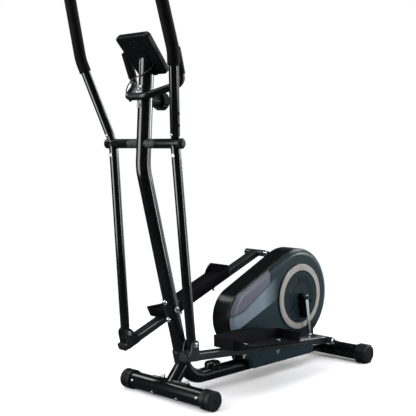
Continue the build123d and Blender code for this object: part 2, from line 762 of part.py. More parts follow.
def pulse_bar():
    """Bent bar welded to a curved plate on the post."""
    bends = [PULSE_KNEE_R, PULSE_BENDS, PULSE_BENDS, PULSE_KNEE_R]
    bar = bent(pulse_points(), bends, PULSE_TUBE / 2, PULSE_TUBE / 2 - PULSE_WALL)
    z0 = PULSE_Z - CLAMP_H / 2
    z1 = PULSE_Z + CLAMP_H / 2
    core = rod(vec(post_top_x(z0 - 20), z0 - 20), vec(post_top_x(z1 + 20), z1 + 20), POST_R)
    plate = rod(vec(post_top_x(z0), z0), vec(post_top_x(z1), z1), POST_R + CLAMP_T)
    x = post_top_x(PULSE_Z)
    plate = plate & block(x + 8, x + 60, -60, 60, z0 - 20, z1 + 20)
    last = wire_points()[-1]
    way = (last - wire_points()[-2]).normalized()
    socket = rod(last, last + way * SOCKET_LEN, SOCKET_R)
    socket = socket - bent(pulse_points(), bends, PULSE_TUBE / 2 - PULSE_WALL)
    made = bar + plate - core + socket
    for seat in clamp_seats():
        made = made - rod(seat + Vector(30, 0, 0), seat - Vector(5, 0, 0), M6 + SLIP)
    return made


def pulse_bolts():
    """Two bolts through the curved plate."""
    made = []
    for seat in clamp_seats():
        head = seat + Vector(CLAMP_T + 0.4, 0, 0)
        made.append(screw(head, (-1, 0, 0), M6, 12, 2 * M6, 1.4 * M6))
    return group(*made)


def pulse_grips():
    """Foam sleeves with closed ends on the pulse bar."""
    end = Vector(X0 + PULSE_END[0], PULSE_END[1], PULSE_END[2])
    knee = Vector(X0 + PULSE_KNEE[0], PULSE_KNEE[1], PULSE_KNEE[2])
    up = (end - knee).normalized()
    grip = pipe(end - up * (PULSE_GRIP_LEN - 8), end, PULSE_GRIP_R, PULSE_TUBE / 2)
    grip = grip + rod(end, end + up * 4, PULSE_GRIP_R)
    grip = grip + cone(end + up * 4, end + up * 8, PULSE_GRIP_R, PULSE_GRIP_R * 0.7)
    return group(grip, other_side(grip))


def wire_radii(points):
    """Bend radius at each inner point: the widest arc the shorter run allows."""
    radii = []
    for a, b, c in zip(points, points[1:], points[2:]):
        turn = (b - a).get_angle(c - b)
        run = min((b - a).length, (c - b).length)
        radii.append(0.45 * run / math.tan(math.radians(turn) / 2))
    return radii


def wire_points():
    """Route of the sensor wire, console to pulse bar."""
    return [Vector(X0 + x, y, z) for x, y, z in WIRE]


def pulse_wire():
    """Thin sensor wire from the console to the pulse bar."""
    points = wire_points()
    radii = wire_radii(points)
    print("sensor wire bend radii", [round(r, 1) for r in radii])
    return bent(points, radii, WIRE_R)


# Tension knob

def knob_base():
    """Fixed collar and spindle behind the post."""
    x = post_top_x(KNOB_Z)
    body = cone((x, 0, KNOB_Z), (x - KNOB_BACK + END_GAP, 0, KNOB_Z), KNOB_BASE_R + 4, KNOB_BASE_R)
    core = rod(vec(post_top_x(KNOB_Z - 60), KNOB_Z - 60), vec(post_top_x(KNOB_Z + 60), KNOB_Z + 60), POST_R)
    spindle = rod((x - 40, 0, KNOB_Z), (x - KNOB_BACK - KNOB_LEN * 0.6, 0, KNOB_Z), M10)
    return (body - core) + spindle


def tension_knob():
    """Fluted knob with a dished face."""
    front = post_top_x(KNOB_Z) - KNOB_BACK
    back = front - KNOB_LEN
    knob = rod((front, 0, KNOB_Z), (back + 4, 0, KNOB_Z), KNOB_R)
    knob = knob + cone((back + 4, 0, KNOB_Z), (back, 0, KNOB_Z), KNOB_R, KNOB_R - 4)
    for k in range(KNOB_FLUTES):
        a = math.radians(360.0 * k / KNOB_FLUTES)
        y = (KNOB_R + 2.5) * math.cos(a)
        z = KNOB_Z + (KNOB_R + 2.5) * math.sin(a)
        knob = knob - rod((front + 1, y, z), (back - 1, y, z), 5)
    knob = knob - cone((back - 0.01, 0, KNOB_Z), (back + 3, 0, KNOB_Z), KNOB_R - 10, KNOB_R - 15)
    return knob - rod((front + 1, 0, KNOB_Z), (front - KNOB_LEN * 0.6 - END_GAP, 0, KNOB_Z), M10 + RUN)


# Housing

def soft_slab(face, half, r):
    """Slab about the middle plane with rounded rims."""
    body = slab(face, -half, half)
    rims = [f for f in body.faces() if abs(abs(f.center().Y) - half) < 0.1]
    return fillet([e for f in rims for e in f.edges()], r)


def rim_band():
    """Rounded band round the housing, open below for the frame."""
    body = soft_slab(teardrop(0), BAND_HALF, BAND_ROUND)
    body = body - soft_slab(teardrop(BAND_WALL), BAND_HALF - BAND_WALL, BAND_ROUND - BAND_WALL)
    body = body - slab(teardrop(COVER_IN + BAND_WALL), -BAND_HALF - 1, BAND_HALF + 1)
    gap = block(X0 - SKIRT_BACK, X0 - SKIRT_FRONT, -BAND_HALF - 1, BAND_HALF + 1, 0, SKIRT_TOP)
    return body - gap


def skirt_face(inset):
    """Side view of the skirt: a slanted front corner and a short slant at the back."""
    x0 = X0 - SKIRT_BACK + inset
    x1 = X0 - SKIRT_FRONT - inset
    z0 = SKIRT_Z + inset
    top = SKIRT_TOP + inset
    outline = [
        (x0, top),
        (x0, z0 + SKIRT_HEEL),
        (x0 + SKIRT_HEEL, z0),
        (x1 - SKIRT_SLANT, z0),
        (x1, z0 + SKIRT_RISE),
        (x1, top),
    ]
    return Plane.XZ * Face(Wire(Polyline(*outline, close=True).edges()))


def cover_left():
    """Lofted side cover with a skirt that hangs beside the beam."""
    def section(inset, y):
        return Pos(0, y, 0) * teardrop(inset)

    outer = loft([
        section(COVER_IN, BAND_HALF),
        section(COVER_MID_IN, COVER_MID),
        section(COVER_FACE_IN, COVER_OUT),
    ])
    inner_y = COVER_OUT - COVER_T
    inner = loft([
        section(COVER_IN + COVER_T, BAND_HALF - 0.5),
        section(COVER_MID_IN + COVER_T, COVER_MID - COVER_T),
        section(COVER_FACE_IN + COVER_T, inner_y),
    ])
    skirt = slab(skirt_face(0), SKIRT_IN, COVER_OUT)
    face = skirt.faces().sort_by(Axis.Y)[-1]
    skirt = chamfer(face.edges(), SKIRT_EDGE)
    room = slab(skirt_face(COVER_T), SKIRT_IN - 1, inner_y)
    clear = slab(teardrop(COVER_IN), 0, BAND_HALF)
    made = (outer + (skirt - clear)) - inner - room
    made = made - rod((CRANK_X, 0, CRANK_Z), (CRANK_X, 90, CRANK_Z), SHELL_R + 15)
    for back in STAY_BACK:
        x = X0 - back
        made = made - rod((x, 0, STAY_Z), (x, 90, STAY_Z), M6 + SLIP)
    return made


def cover_rings():
    """Raised light rings round the crank discs."""
    y1 = COVER_OUT + RING_H
    ring = rod((CRANK_X, COVER_OUT, CRANK_Z), (CRANK_X, y1 - 4, CRANK_Z), RING_R)
    ring = ring + cone((CRANK_X, y1 - 4, CRANK_Z), (CRANK_X, y1, CRANK_Z), RING_R, RING_R - 6)
    ring = ring - rod((CRANK_X, 0, CRANK_Z), (CRANK_X, 90, CRANK_Z), RING_IN_R)
    return group(ring, other_side(ring))


def cover_screws():
    """Screws through the skirts into the stays."""
    made = []
    for back in STAY_BACK:
        x = X0 - back
        made.append(screw((x, COVER_OUT, STAY_Z), (0, -1, 0), M6, 15, 2 * M6, M6))
    left = group(*made)
    return group(left, other_side(left))


# Crank and drive

def crank_shaft():
    """Stepped shaft through the crank shell."""
    end = ARM_IN + ARM_T + EYE_UP
    return rod((CRANK_X, -end, CRANK_Z), (CRANK_X, end, CRANK_Z), SHAFT_R)


def crank_bearings():
    """Bearing rings at the ends of the crank shell."""
    made = []
    for y in (SHELL_Y[0], SHELL_Y[1] - BEARING_W):
        end = y + BEARING_W
        made.append(pipe((CRANK_X, y, CRANK_Z), (CRANK_X, end, CRANK_Z), BEARING_R, SHAFT_R + RUN))
    return group(*made)


def crank_arm(side):
    """Flat tapered arm with a round boss at each end."""
    y0 = ARM_IN
    y1 = ARM_IN + ARM_T
    bar = hull_face((0, 0), EYE_R - 2, (0, -CRANK_R), ARM_NECK)
    bar = slab(bar, y0, y1)
    eye = rod((0, y0 - 4, 0), (0, y1 + EYE_UP, 0), EYE_R)
    tip = rod((0, y0, -CRANK_R), (0, PIN_FACE, -CRANK_R), PIN_EYE_R)
    arm = bar + eye + tip
    arm = arm - rod((0, 0, 0), (0, 150, 0), SHAFT_R)
    if side == RIGHT:
        arm = other_side(arm)
    return turned(CRANK_X, CRANK_Z, CRANK_REST + (0.0 if side == LEFT else 180.0), arm)


def crank_caps():
    """Plastic caps over the shaft ends."""
    made = []
    y0 = ARM_IN + ARM_T + EYE_UP
    cap = rod((CRANK_X, y0, CRANK_Z), (CRANK_X, y0 + 3, CRANK_Z), EYE_R - 2)
    cap = cap + cone((CRANK_X, y0 + 3, CRANK_Z), (CRANK_X, y0 + 5, CRANK_Z), EYE_R - 2, EYE_R - 5)
    made.append(cap)
    made.append(other_side(cap))
    return group(*made)


def crank_disc(side):
    """Dished disc inside the ring, with a hub and a raised tongue."""
    y0 = COVER_OUT + FREE
    y1 = y0 + DISC_T
    r = RING_IN_R - FREE
    disc = rod((0, y0, 0), (0, y1, 0), r)
    disc = disc - cone((0, y1 - 3, 0), (0, y1 + 0.01, 0), r * 0.55, r * 0.8)
    hub = rod((0, y1 - 4, 0), (0, ARM_IN - 4, 0), EYE_R + 4)
    tongue = slab(hull_face((0, 0), EYE_R + 4, (0, -r * 0.72), EYE_R + 4), y1 - 4, ARM_IN - 4)
    disc = disc + hub + tongue - rod((0, 0, 0), (0, 150, 0), SHAFT_R)
    if side == RIGHT:
        disc = other_side(disc)
    return turned(CRANK_X, CRANK_Z, CRANK_REST + (0.0 if side == LEFT else 180.0), disc)


def crank_discs():
    """The disc on each side."""
    return group(crank_disc(LEFT), crank_disc(RIGHT))


def drive_pulley():
    """Large belt pulley on the crank shaft."""
    y0, y1 = BELT_Y
    rim = pipe((CRANK_X, y0, CRANK_Z), (CRANK_X, y1, CRANK_Z), PULLEY_R, PULLEY_R - 8)
    web = pipe((CRANK_X, y0 + 5, CRANK_Z), (CRANK_X, y1 - 5, CRANK_Z), PULLEY_R - 7, SHAFT_R)
    for k in range(5):
        a = math.radians(72.0 * k)
        x = CRANK_X + 62 * math.cos(a)
        z = CRANK_Z + 62 * math.sin(a)
        web = web - rod((x, y0 - 1, z), (x, y1 + 1, z), 22)
    hub = pipe((CRANK_X, y0, CRANK_Z), (CRANK_X, y1, CRANK_Z), 22, SHAFT_R)
    return rim + web + hub


def drive_belt():
    """Flat belt round both pulleys."""
    big = PULLEY_R + BELT_GAP
    small = SMALL_R + BELT_GAP
    crank = (CRANK_X, CRANK_Z)
    wheel = (FLY_X, FLY_Z)
    outer = slab(hull_face(crank, big + BELT_T, wheel, small + BELT_T), BELT_Y[0] + 1, BELT_Y[1] - 1)
    inner = slab(hull_face(crank, big, wheel, small), BELT_Y[0], BELT_Y[1])
    return outer - inner


def flywheel():
    """Heavy-rimmed wheel with its small pulley."""
    y0, y1 = FLY_Y
    rim = pipe((FLY_X, y0, FLY_Z), (FLY_X, y1, FLY_Z), FLY_R, FLY_R - 26)
    web = rod((FLY_X, y0 + 8, FLY_Z), (FLY_X, y1 - 8, FLY_Z), FLY_R - 20)
    hub = rod((FLY_X, BELT_Y[0], FLY_Z), (FLY_X, y1 + 2, FLY_Z), SMALL_R)
    return rim + web + hub - rod((FLY_X, -60, FLY_Z), (FLY_X, 60, FLY_Z), M10 + RUN)


def flywheel_axle():
    """Bolt across the fork with a nut at each end."""
    y0 = FORK_Y[0]
    y1 = FORK_Y[1] + FORK_T
    pin = rod((FLY_X, y0 - 9, FLY_Z), (FLY_X, y1 + 9, FLY_Z), M10)
    nuts = hexagon((FLY_X, y0, FLY_Z), (0, -1, 0), 9, 6) + hexagon((FLY_X, y1, FLY_Z), (0, 1, 0), 9, 6)
    return pin + nuts


# Swing arms, built at the axle on the left and then turned or mirrored

def handle_point(z):
    """Handlebar centre line in the arm's frame."""
    low = min(z, HANDLE_BEND_Z)
    high = max(z - HANDLE_BEND_Z, 0.0)
    x = HANDLE_FWD * low + GRIP_FWD * high
    y = SIDE_Y + HANDLE_OUT * low + GRIP_OUT * high
    return Vector(x, y, z)


def arm_weldment():
    """Pivot sleeve, lower tube and handlebar stub."""
    inner_r = ARM_TUBE_R - ARM_WALL
    sleeve = rod((0, SLEEVE_Y0, 0), (0, SLEEVE_Y1, 0), ARM_TUBE_R)
    low_end = -ARM_R - ARM_TAIL + PLUG_T
    lower = pipe((0, SIDE_Y, 0), (0, SIDE_Y, low_end), ARM_TUBE_R, inner_r)
    stub_r = inner_r - SLIP
    stub = rod(handle_point(0), handle_point(STUB_TOP), stub_r)
    made = sleeve + lower + stub
    made = made - rod((0, 0, 0), (0, 250, 0), SLEEVE_BORE_R)
    made = made - rod((0, 0, -ARM_R), (0, 250, -ARM_R), BUSH_R)
    for z in HANDLE_BOLT_Z:
        spot = handle_point(z)
        made = made - rod(spot, spot + handle_side() * 40, M6 + SLIP)
    return made


def arm_bushes():
    """Bushes in the pivot sleeve and the lower pivot."""
    made = []
    for y in (SLEEVE_Y0, SLEEVE_Y1 - BUSH_LEN):
        made.append(pipe((0, y, 0), (0, y + BUSH_LEN, 0), SLEEVE_BORE_R, AXLE_R + RUN))
    half = ARM_TUBE_R - 0.2
    low = pipe((0, SIDE_Y - half, -ARM_R), (0, SIDE_Y + half, -ARM_R), BUSH_R, M10 + RUN)
    made.append(low)
    return group(*made)


def arm_plug():
    """Plug in the arm's lower end."""
    end = -ARM_R - ARM_TAIL
    inner_r = ARM_TUBE_R - ARM_WALL
    plug = rod((0, SIDE_Y, end), (0, SIDE_Y, end + PLUG_T), ARM_TUBE_R)
    return plug + rod((0, SIDE_Y, end + PLUG_T), (0, SIDE_Y, end + PLUG_T + 5), inner_r)


def handlebar():
    """Bent upper tube that slides over the stub."""
    points = [handle_point(HANDLE_Z0), handle_point(HANDLE_BEND_Z), handle_point(HANDLE_TOP_Z)]
    tube = bent(points, HANDLE_BEND_R, ARM_TUBE_R, ARM_TUBE_R - ARM_WALL)
    tube = tube - rod((0, 0, 0), (0, 300, 0), ARM_TUBE_R)
    for z in HANDLE_BOLT_Z:
        spot = handle_point(z)
        tube = tube - rod(spot, spot + handle_side() * 40, M6 + SLIP)
    return tube


def handle_side():
    """Outward direction, square to the lower run of the handlebar."""
    run = (handle_point(HANDLE_BEND_Z) - handle_point(0)).normalized()
    out = Vector(0, 1, 0)
    return (out - run * out.dot(run)).normalized()


def handle_bolts():
    """Two bolts that hold the handlebar on its stub."""
    out = handle_side()
    made = []
    for z in HANDLE_BOLT_Z:
        seat = handle_point(z) + out * ARM_TUBE_R
        made.append(screw(seat, out * -1, M6, ARM_TUBE_R - 2, 1.9 * M6, 1.3 * M6))
    return group(*made)


def handle_grip():
    """Foam grip along the bent top of the handlebar, closed at its end."""
    points = [handle_point(GRIP_Z0), handle_point(HANDLE_BEND_Z), handle_point(HANDLE_TOP_Z)]
    grip = bent(points, HANDLE_BEND_R, GRIP_R, ARM_TUBE_R)
    end = handle_point(HANDLE_TOP_Z)
    up = (end - handle_point(HANDLE_BEND_Z)).normalized()
    grip = grip + rod(end, end + up * (GRIP_END * 0.5), GRIP_R)
    return grip + cone(end + up * (GRIP_END * 0.5), end + up * GRIP_END, GRIP_R, GRIP_R * 0.7)


# Pedal bars, built at the lower pivot on the left

def ear_face(web):
    """Side view of a clevis ear below its round top, with a web behind it."""
    low = -PIVOT_RISE - BAR_H / 2
    foot = -PIVOT_RISE + BAR_H / 2
    outline = [
        (-EAR_W / 2 - web, low),
        (EAR_W / 2, low),
        (EAR_W / 2, foot),
        (EAR_TOP_R, 0),
        (-EAR_TOP_R * 0.8, EAR_TOP_R * 0.6),
        (-EAR_W / 2 - web, foot),
    ]
    return Plane.XZ * Face(Wire(Polyline(*outline, close=True).edges()))


def pedal_bar():
    """Rectangular tube with clevis ears and a rear cross sleeve."""
    z = -PIVOT_RISE
    back = -BAR_REACH + SLEEVE_R * 0.5
    bar = block(back, BAR_NOSE, SIDE_Y - BAR_W / 2, SIDE_Y + BAR_W / 2, z - BAR_H / 2, z + BAR_H / 2)
    bar = fillet(bar.edges().filter_by(Axis.X), 4)
    room = block(back, BAR_NOSE + 1, SIDE_Y - BAR_W / 2 + BAR_WALL, SIDE_Y + BAR_W / 2 - BAR_WALL,
                 z - BAR_H / 2 + BAR_WALL, z + BAR_H / 2 - BAR_WALL)
    for y, web in ((SIDE_Y - EAR_OUT, EAR_WEB), (SIDE_Y + EAR_IN, 0.0)):
        bar = bar + slab(ear_face(web), y, y + EAR_T)
        bar = bar + rod((0, y, 0), (0, y + EAR_T, 0), EAR_TOP_R)
    sleeve = rod((-BAR_REACH, SIDE_Y - SLEEVE_HALF, z), (-BAR_REACH, SIDE_Y + SLEEVE_HALF, z), SLEEVE_R)
    bar = bar - room + sleeve
    bar = bar - rod((-BAR_REACH, 0, z), (-BAR_REACH, 300, z), PIN_R)
    bar = bar - rod((0, 0, 0), (0, 300, 0), M10)
    for x in PEDAL_BOLTS:
        bar = bar - rod((-x, SIDE_Y, z - 40), (-x, SIDE_Y, z + 40), M8)
    return bar


def bar_plug():
    """Plug in the front end of the bar."""
    z = -PIVOT_RISE
    y0 = SIDE_Y - BAR_W / 2
    y1 = SIDE_Y + BAR_W / 2
    plug = block(BAR_NOSE, BAR_NOSE + PLUG_T, y0, y1, z - BAR_H / 2, z + BAR_H / 2)
    plug = fillet(plug.edges().filter_by(Axis.X), 4)
    plug = chamfer(plug.faces().sort_by(Axis.X)[-1].edges(), 1.5)
    gap = BAR_WALL + SLIP
    return plug + block(BAR_NOSE - 12, BAR_NOSE, y0 + gap, y1 - gap, z - BAR_H / 2 + gap, z + BAR_H / 2 - gap)


def bar_bolts():
    """Pivot bolt, crank pin and pedal bolts of one bar."""
    z = -PIVOT_RISE
    out = SIDE_Y + EAR_OUT
    inn = SIDE_Y - EAR_OUT
    pivot = screw((0, out, 0), (0, -1, 0), M10, 2 * EAR_OUT + 8, 1.8 * M10, M10)
    pivot = pivot + hexagon((0, inn, 0), (0, -1, 0), 1.7 * M10, 6)
    end = SIDE_Y + SLEEVE_HALF
    pin = screw((-BAR_REACH, end, z), (0, -1, 0), PIN_R, 2 * SLEEVE_HALF, SLEEVE_R - 1, 4)
    made = [pivot, pin]
    for x in PEDAL_BOLTS:
        seat = (-x, SIDE_Y, BAR_TOP + TRAY_FLOOR)
        bolt = screw(seat, (0, 0, -1), M8, BAR_H + TRAY_FLOOR + 18, 2.1 * M8, 3)
        made.append(bolt + hexagon((-x, SIDE_Y, BAR_TOP - BAR_H), (0, 0, -1), 1.9 * M8, 8))
    return group(*made)


def pedal():
    """Foot tray: flared walls, low outer side, sloped ends and a ribbed floor."""
    mid = -(TOE + HEEL) / 2
    size = HEEL - TOE
    base = RectangleRounded(size - 6, TRAY_W - 6, TRAY_R)
    tray = extrude(base, amount=TRAY_H, taper=-TRAY_FLARE)
    inner = RectangleRounded(size - 6 - 2 * TRAY_T, TRAY_W - 6 - 2 * TRAY_T, TRAY_R - TRAY_T)
    room = Pos(0, 0, TRAY_FLOOR) * extrude(inner, amount=TRAY_H, taper=-TRAY_FLARE)
    tray = tray - room
    half = size / 2
    side = [
        (-half + 4, TRAY_H + 5),
        (-half + 4, TRAY_H - 3),
        (-half + HEEL_RUN, LIP_H),
        (half - TOE_RUN, LIP_H),
        (half - 4, TRAY_H - 3),
        (half - 4, TRAY_H + 5),
    ]
    cut = slab(Plane.XZ * Face(Wire(Polyline(*side, close=True).edges())), TRAY_W / 2 - 14, TRAY_W)
    tray = tray - cut
    low = TRAY_H - 2
    reach = half - TOE_RUN / 2
    bow = ThreePointArc((-reach, low), (0, TRAY_H + TRAY_ARCH), (reach, low))
    arch = Plane.XZ * Face(Wire([bow, Line((reach, low), (-reach, low))]))
    tray = tray + slab(arch, -TRAY_W / 2, TRAY_T - 0.5 - TRAY_W / 2)
    for k in range(RIB_COUNT):
        x = -half + 30 + k * (size - 60) / (RIB_COUNT - 1)
        if min(abs(x + mid + b) for b in PEDAL_BOLTS) > 14:
            tray = tray + Pos(x, 0, TRAY_FLOOR + 0.6) * Box(5, TRAY_W - 40, 1.2)
    tray = Pos(mid, SIDE_Y, BAR_TOP) * tray
    for x in PEDAL_BOLTS:
        tray = tray - rod((-x, SIDE_Y, BAR_TOP - 5), (-x, SIDE_Y, BAR_TOP + TRAY_FLOOR + 5), M8)
    return tray


def sided(side, shape, angle, x, z):
    """Left-built piece put on its own side at its pivot."""
    if side == RIGHT:
        shape = other_side(shape)
    return turned(x, z, angle, shape)


def frame_nodes():
    """Nodes that stay still."""
    cap_front = front_cap()
    cap_rear = rear_cap()
    left = cover_left()
    return {
        "beam": beam(),
        "crank_post": crank_post(),
        "flywheel_fork": fork(),
        "front_stabiliser": stabiliser(True),
        "rear_stabiliser": stabiliser(False),
        "front_caps": group(cap_front, other_side(cap_front)),
        "rear_caps": group(cap_rear, other_side(cap_rear)),
        "stabiliser_bolts": group(*stab_bolts(True), *stab_bolts(False)),
        "post": post(),
        "post_collar": post_collar(),
        "post_bolts": post_bolts(),
        "axle": axle(),
        "axle_spacers": axle_spacers(),
        "axle_caps": axle_caps(),
        "console_back": console_back(),
        "console_front": console_front(),
        "console_lens": console_lens(),
        "console_bracket": console_bracket(),
        "pulse_bar": pulse_bar(),
        "pulse_grips": pulse_grips(),
        "pulse_bolts": pulse_bolts(),
        "pulse_wire": pulse_wire(),
        "knob_base": knob_base(),
        "rim_band": rim_band(),
        "cover_left": left,
        "cover_right": other_side(left),
        "cover_rings": cover_rings(),
        "cover_screws": cover_screws(),
        "crank_bearings": crank_bearings(),
        "drive_belt": drive_belt(),
        "flywheel_axle": flywheel_axle(),
    }


def drive_nodes():
    """Nodes that turn with the crank, the flywheel, the knob and the buttons."""
    return {
        "crank_shaft": crank_shaft(),
        "crank_arm_left": crank_arm(LEFT),
        "crank_arm_right": crank_arm(RIGHT),
        "crank_caps": crank_caps(),
        "crank_discs": crank_discs(),
        "drive_pulley": drive_pulley(),
        "flywheel": flywheel(),
        "tension_knob": tension_knob(),
        "button_left": console_button(-1),
        "button_middle": console_button(0),
        "button_right": console_button(1),
    }


def side_nodes(name, side):
    """Swing arm and pedal bar of one side, in the rest pose."""
    arm_deg, bar_deg, pivot = side_pose(CRANK_REST, side)
    end = side_pose(CRANK_REST + CRANK_SWEEP, side)
    arm_ratio = (end[0] - arm_deg) / CRANK_SWEEP
    bar_ratio = (end[1] - bar_deg) / CRANK_SWEEP - arm_ratio
    print(name, "pivot", round(pivot.real, 3), round(pivot.imag, 3))
    print(name, "arm", round(arm_deg, 4), "bar", round(bar_deg, 4))
    print(name, "ratios to the crank: arm", round(arm_ratio, 6), "bar on arm", round(bar_ratio, 6))
    arm = {
        "swing_arm": arm_weldment(),
        "arm_bushes": group(arm_bushes(), arm_plug()),
        "handlebar": handlebar(),
        "handle_bolts": handle_bolts(),
        "handle_grip": handle_grip(),
    }
    bar = {
        "pedal_bar": pedal_bar(),
        "bar_plug": bar_plug(),
        "bar_bolts": bar_bolts(),
        "pedal": pedal(),
    }
    nodes = {f"{name}_{k}": sided(side, s, arm_deg, AXLE_X, AXLE_Z) for k, s in arm.items()}
    for key, shape in bar.items():
        nodes[f"{name}_{key}"] = sided(side, shape, bar_deg, pivot.real, pivot.imag)
    return nodes


def main():
    """Build every node and write one STEP file each."""
    os.makedirs("parts", exist_ok=True)
    nodes = {**frame_nodes(), **drive_nodes()}
    for name, side in SIDES.items():
        nodes.update(side_nodes(name, side))
    for name, shape in nodes.items():
        export_step(shape, f"parts/{name}.step")
    box = Compound([s for n in nodes.values() for s in n.solids()]).bounding_box()
    print("overall box", box.min, box.max, len(nodes), "nodes")
    print("axle", AXLE_X, AXLE_Z, "crank", CRANK_X, CRANK_Z, "flywheel", FLY_X, FLY_Z)
    normal = console_plane().z_dir
    print("console normal", round(normal.X, 5), round(normal.Z, 5), "knob axis at", KNOB_Z)


if __name__ == "__main__":
    main()
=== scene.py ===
"""Looks of the elliptical trainer: finishes, soft grips, the sensor wire and small fittings.

Everything stands in the shared frame in metres, +Z up, +X towards the front stabiliser.
"""

import logging
import math
from dataclasses import dataclass
from enum import Enum
from typing import Any, Sequence

import bmesh
import bpy
from mathutils import Matrix, Vector


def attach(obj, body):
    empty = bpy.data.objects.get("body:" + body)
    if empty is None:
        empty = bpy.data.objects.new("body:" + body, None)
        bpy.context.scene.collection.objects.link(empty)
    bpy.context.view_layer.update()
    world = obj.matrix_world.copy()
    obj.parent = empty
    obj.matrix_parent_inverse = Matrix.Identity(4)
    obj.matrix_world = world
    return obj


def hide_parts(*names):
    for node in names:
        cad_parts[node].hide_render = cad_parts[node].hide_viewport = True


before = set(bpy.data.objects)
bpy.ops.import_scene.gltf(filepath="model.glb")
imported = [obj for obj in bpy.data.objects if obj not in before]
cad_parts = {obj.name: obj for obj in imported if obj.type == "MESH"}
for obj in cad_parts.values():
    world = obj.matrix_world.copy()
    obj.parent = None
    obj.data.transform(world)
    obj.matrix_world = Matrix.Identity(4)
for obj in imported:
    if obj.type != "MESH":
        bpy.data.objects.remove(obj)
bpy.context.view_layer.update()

Tree = bpy.types.NodeTree
Socket = bpy.types.NodeSocket
Shape = bmesh.types.BMesh
Pair = tuple[float, float]
Point = tuple[float, float, float]

LOG = logging.getLogger("elliptical")
MM = 0.001

# Places that more than one piece is set from, in millimetres and degrees
FRONT_X = 316.9                      # front stabiliser's axis
CRANK_AT = (-340.1, 283.5)           # crank's axis in X and Z
CRANK_REST_DEG = 9.2                 # left crank behind straight down

# A grip's rolled mouth and domed end
MOUTH_STEPS = 4
END_STEPS = 8
END_DEG = 84.0                       # how far round the dome goes
END_DRAW = 0.62                      # share of the radius that a half dome would take off

# Bolt heads and the washers under them, in millimetres
ROUND_SIDES = 32                     # corners of a round outline
HEAD_EDGE = 0.5
WASHER_SHARE = 1.5                   # washer's radius over the head's
WASHER_T = 1.6
WASHER_MID = 0.3                     # washer's middle over the seat
WASHER_EDGE = 0.3


class Side(Enum):
    """The user's left or right, as the sign of Y."""

    LEFT = 1
    RIGHT = -1

    @property
    def label(self) -> str:
        """Name that the side's nodes and bodies start with."""
        return self.name.lower()


# Swing of each arm at rest, about the axle
ARM_REST_DEG = {Side.LEFT: 6.1728, Side.RIGHT: 4.1208}


class Grain(Enum):
    """Kinds of fine relief a finish can carry."""

    PEEL = "soft waves of a sprayed coat"
    SPARK = "fine pits of a spark-eroded mould"
    CELLS = "open cells of a foam"


def linear(code: str) -> tuple[float, float, float, float]:
    """Turns an sRGB hex colour into linear light.

    Args:
        code: Six hex digits after a hash.

    Returns:
        Red, green, blue and alpha in linear light.
    """
    parts = [int(code[k:k + 2], 16) / 255 for k in (1, 3, 5)]
    light = [c / 12.92 if c <= 0.04045 else ((c + 0.055) / 1.055) ** 2.4 for c in parts]
    return light[0], light[1], light[2], 1.0


def add_node(tree: Tree, kind: str, inputs: dict[Any, Any] | None = None,
             **settings: Any) -> bpy.types.Node:
    """Adds a shader node with its settings and links.

    Args:
        tree: Node tree that takes the node.
        kind: Blender's name for the node type.
        inputs: Value or output socket for each input, by its name or number.
        **settings: Properties of the node itself.

    Returns:
        The new node.
    """
    made = tree.nodes.new(kind)
    for name, value in settings.items():
        setattr(made, name, value)
    for name, value in (inputs or {}).items():
        if isinstance(value, Socket):
            tree.links.new(value, made.inputs[name])
        else:
            made.inputs[name].default_value = value
    return made


def calc(tree: Tree, kind: str, *values: Any) -> Socket:
    """Adds a maths node on numbers or sockets and gives its result."""
    return add_node(tree, "ShaderNodeMath", dict(enumerate(values)), operation=kind).outputs[0]


def calc_vector(tree: Tree, kind: str, *values: Any) -> Socket:
    """Adds a maths node on vectors and gives its result, a number for a length or a product."""
    made = add_node(tree, "ShaderNodeVectorMath", dict(enumerate(values)), operation=kind)
    return made.outputs["Value" if kind in ("LENGTH", "DISTANCE", "DOT_PRODUCT") else "Vector"]


def ramp(tree: Tree, value: Socket, start: float, end: float, low: float = 0.0, high: float = 1.0) -> Socket:
    """Takes a value from one span to another, held at both ends.

    Args:
        tree: Node tree that takes the node.
        value: Socket with the value.
        start: Where the span starts.
        end: Where it ends.
        low: Result at the start.
        high: Result at the end.

    Returns:
        Socket with the result.
    """
    return add_node(tree, "ShaderNodeMapRange", {
        "Value": value, "From Min": start, "From Max": end, "To Min": low, "To Max": high}).outputs[0]


def blend(tree: Tree, share: Any, under: Any, over: Any) -> Socket:
    """Mixes two colours, where a share of 1 gives the second."""
    return add_node(tree, "ShaderNodeMix", {0: share, 6: under, 7: over}, data_type="RGBA").outputs[2]


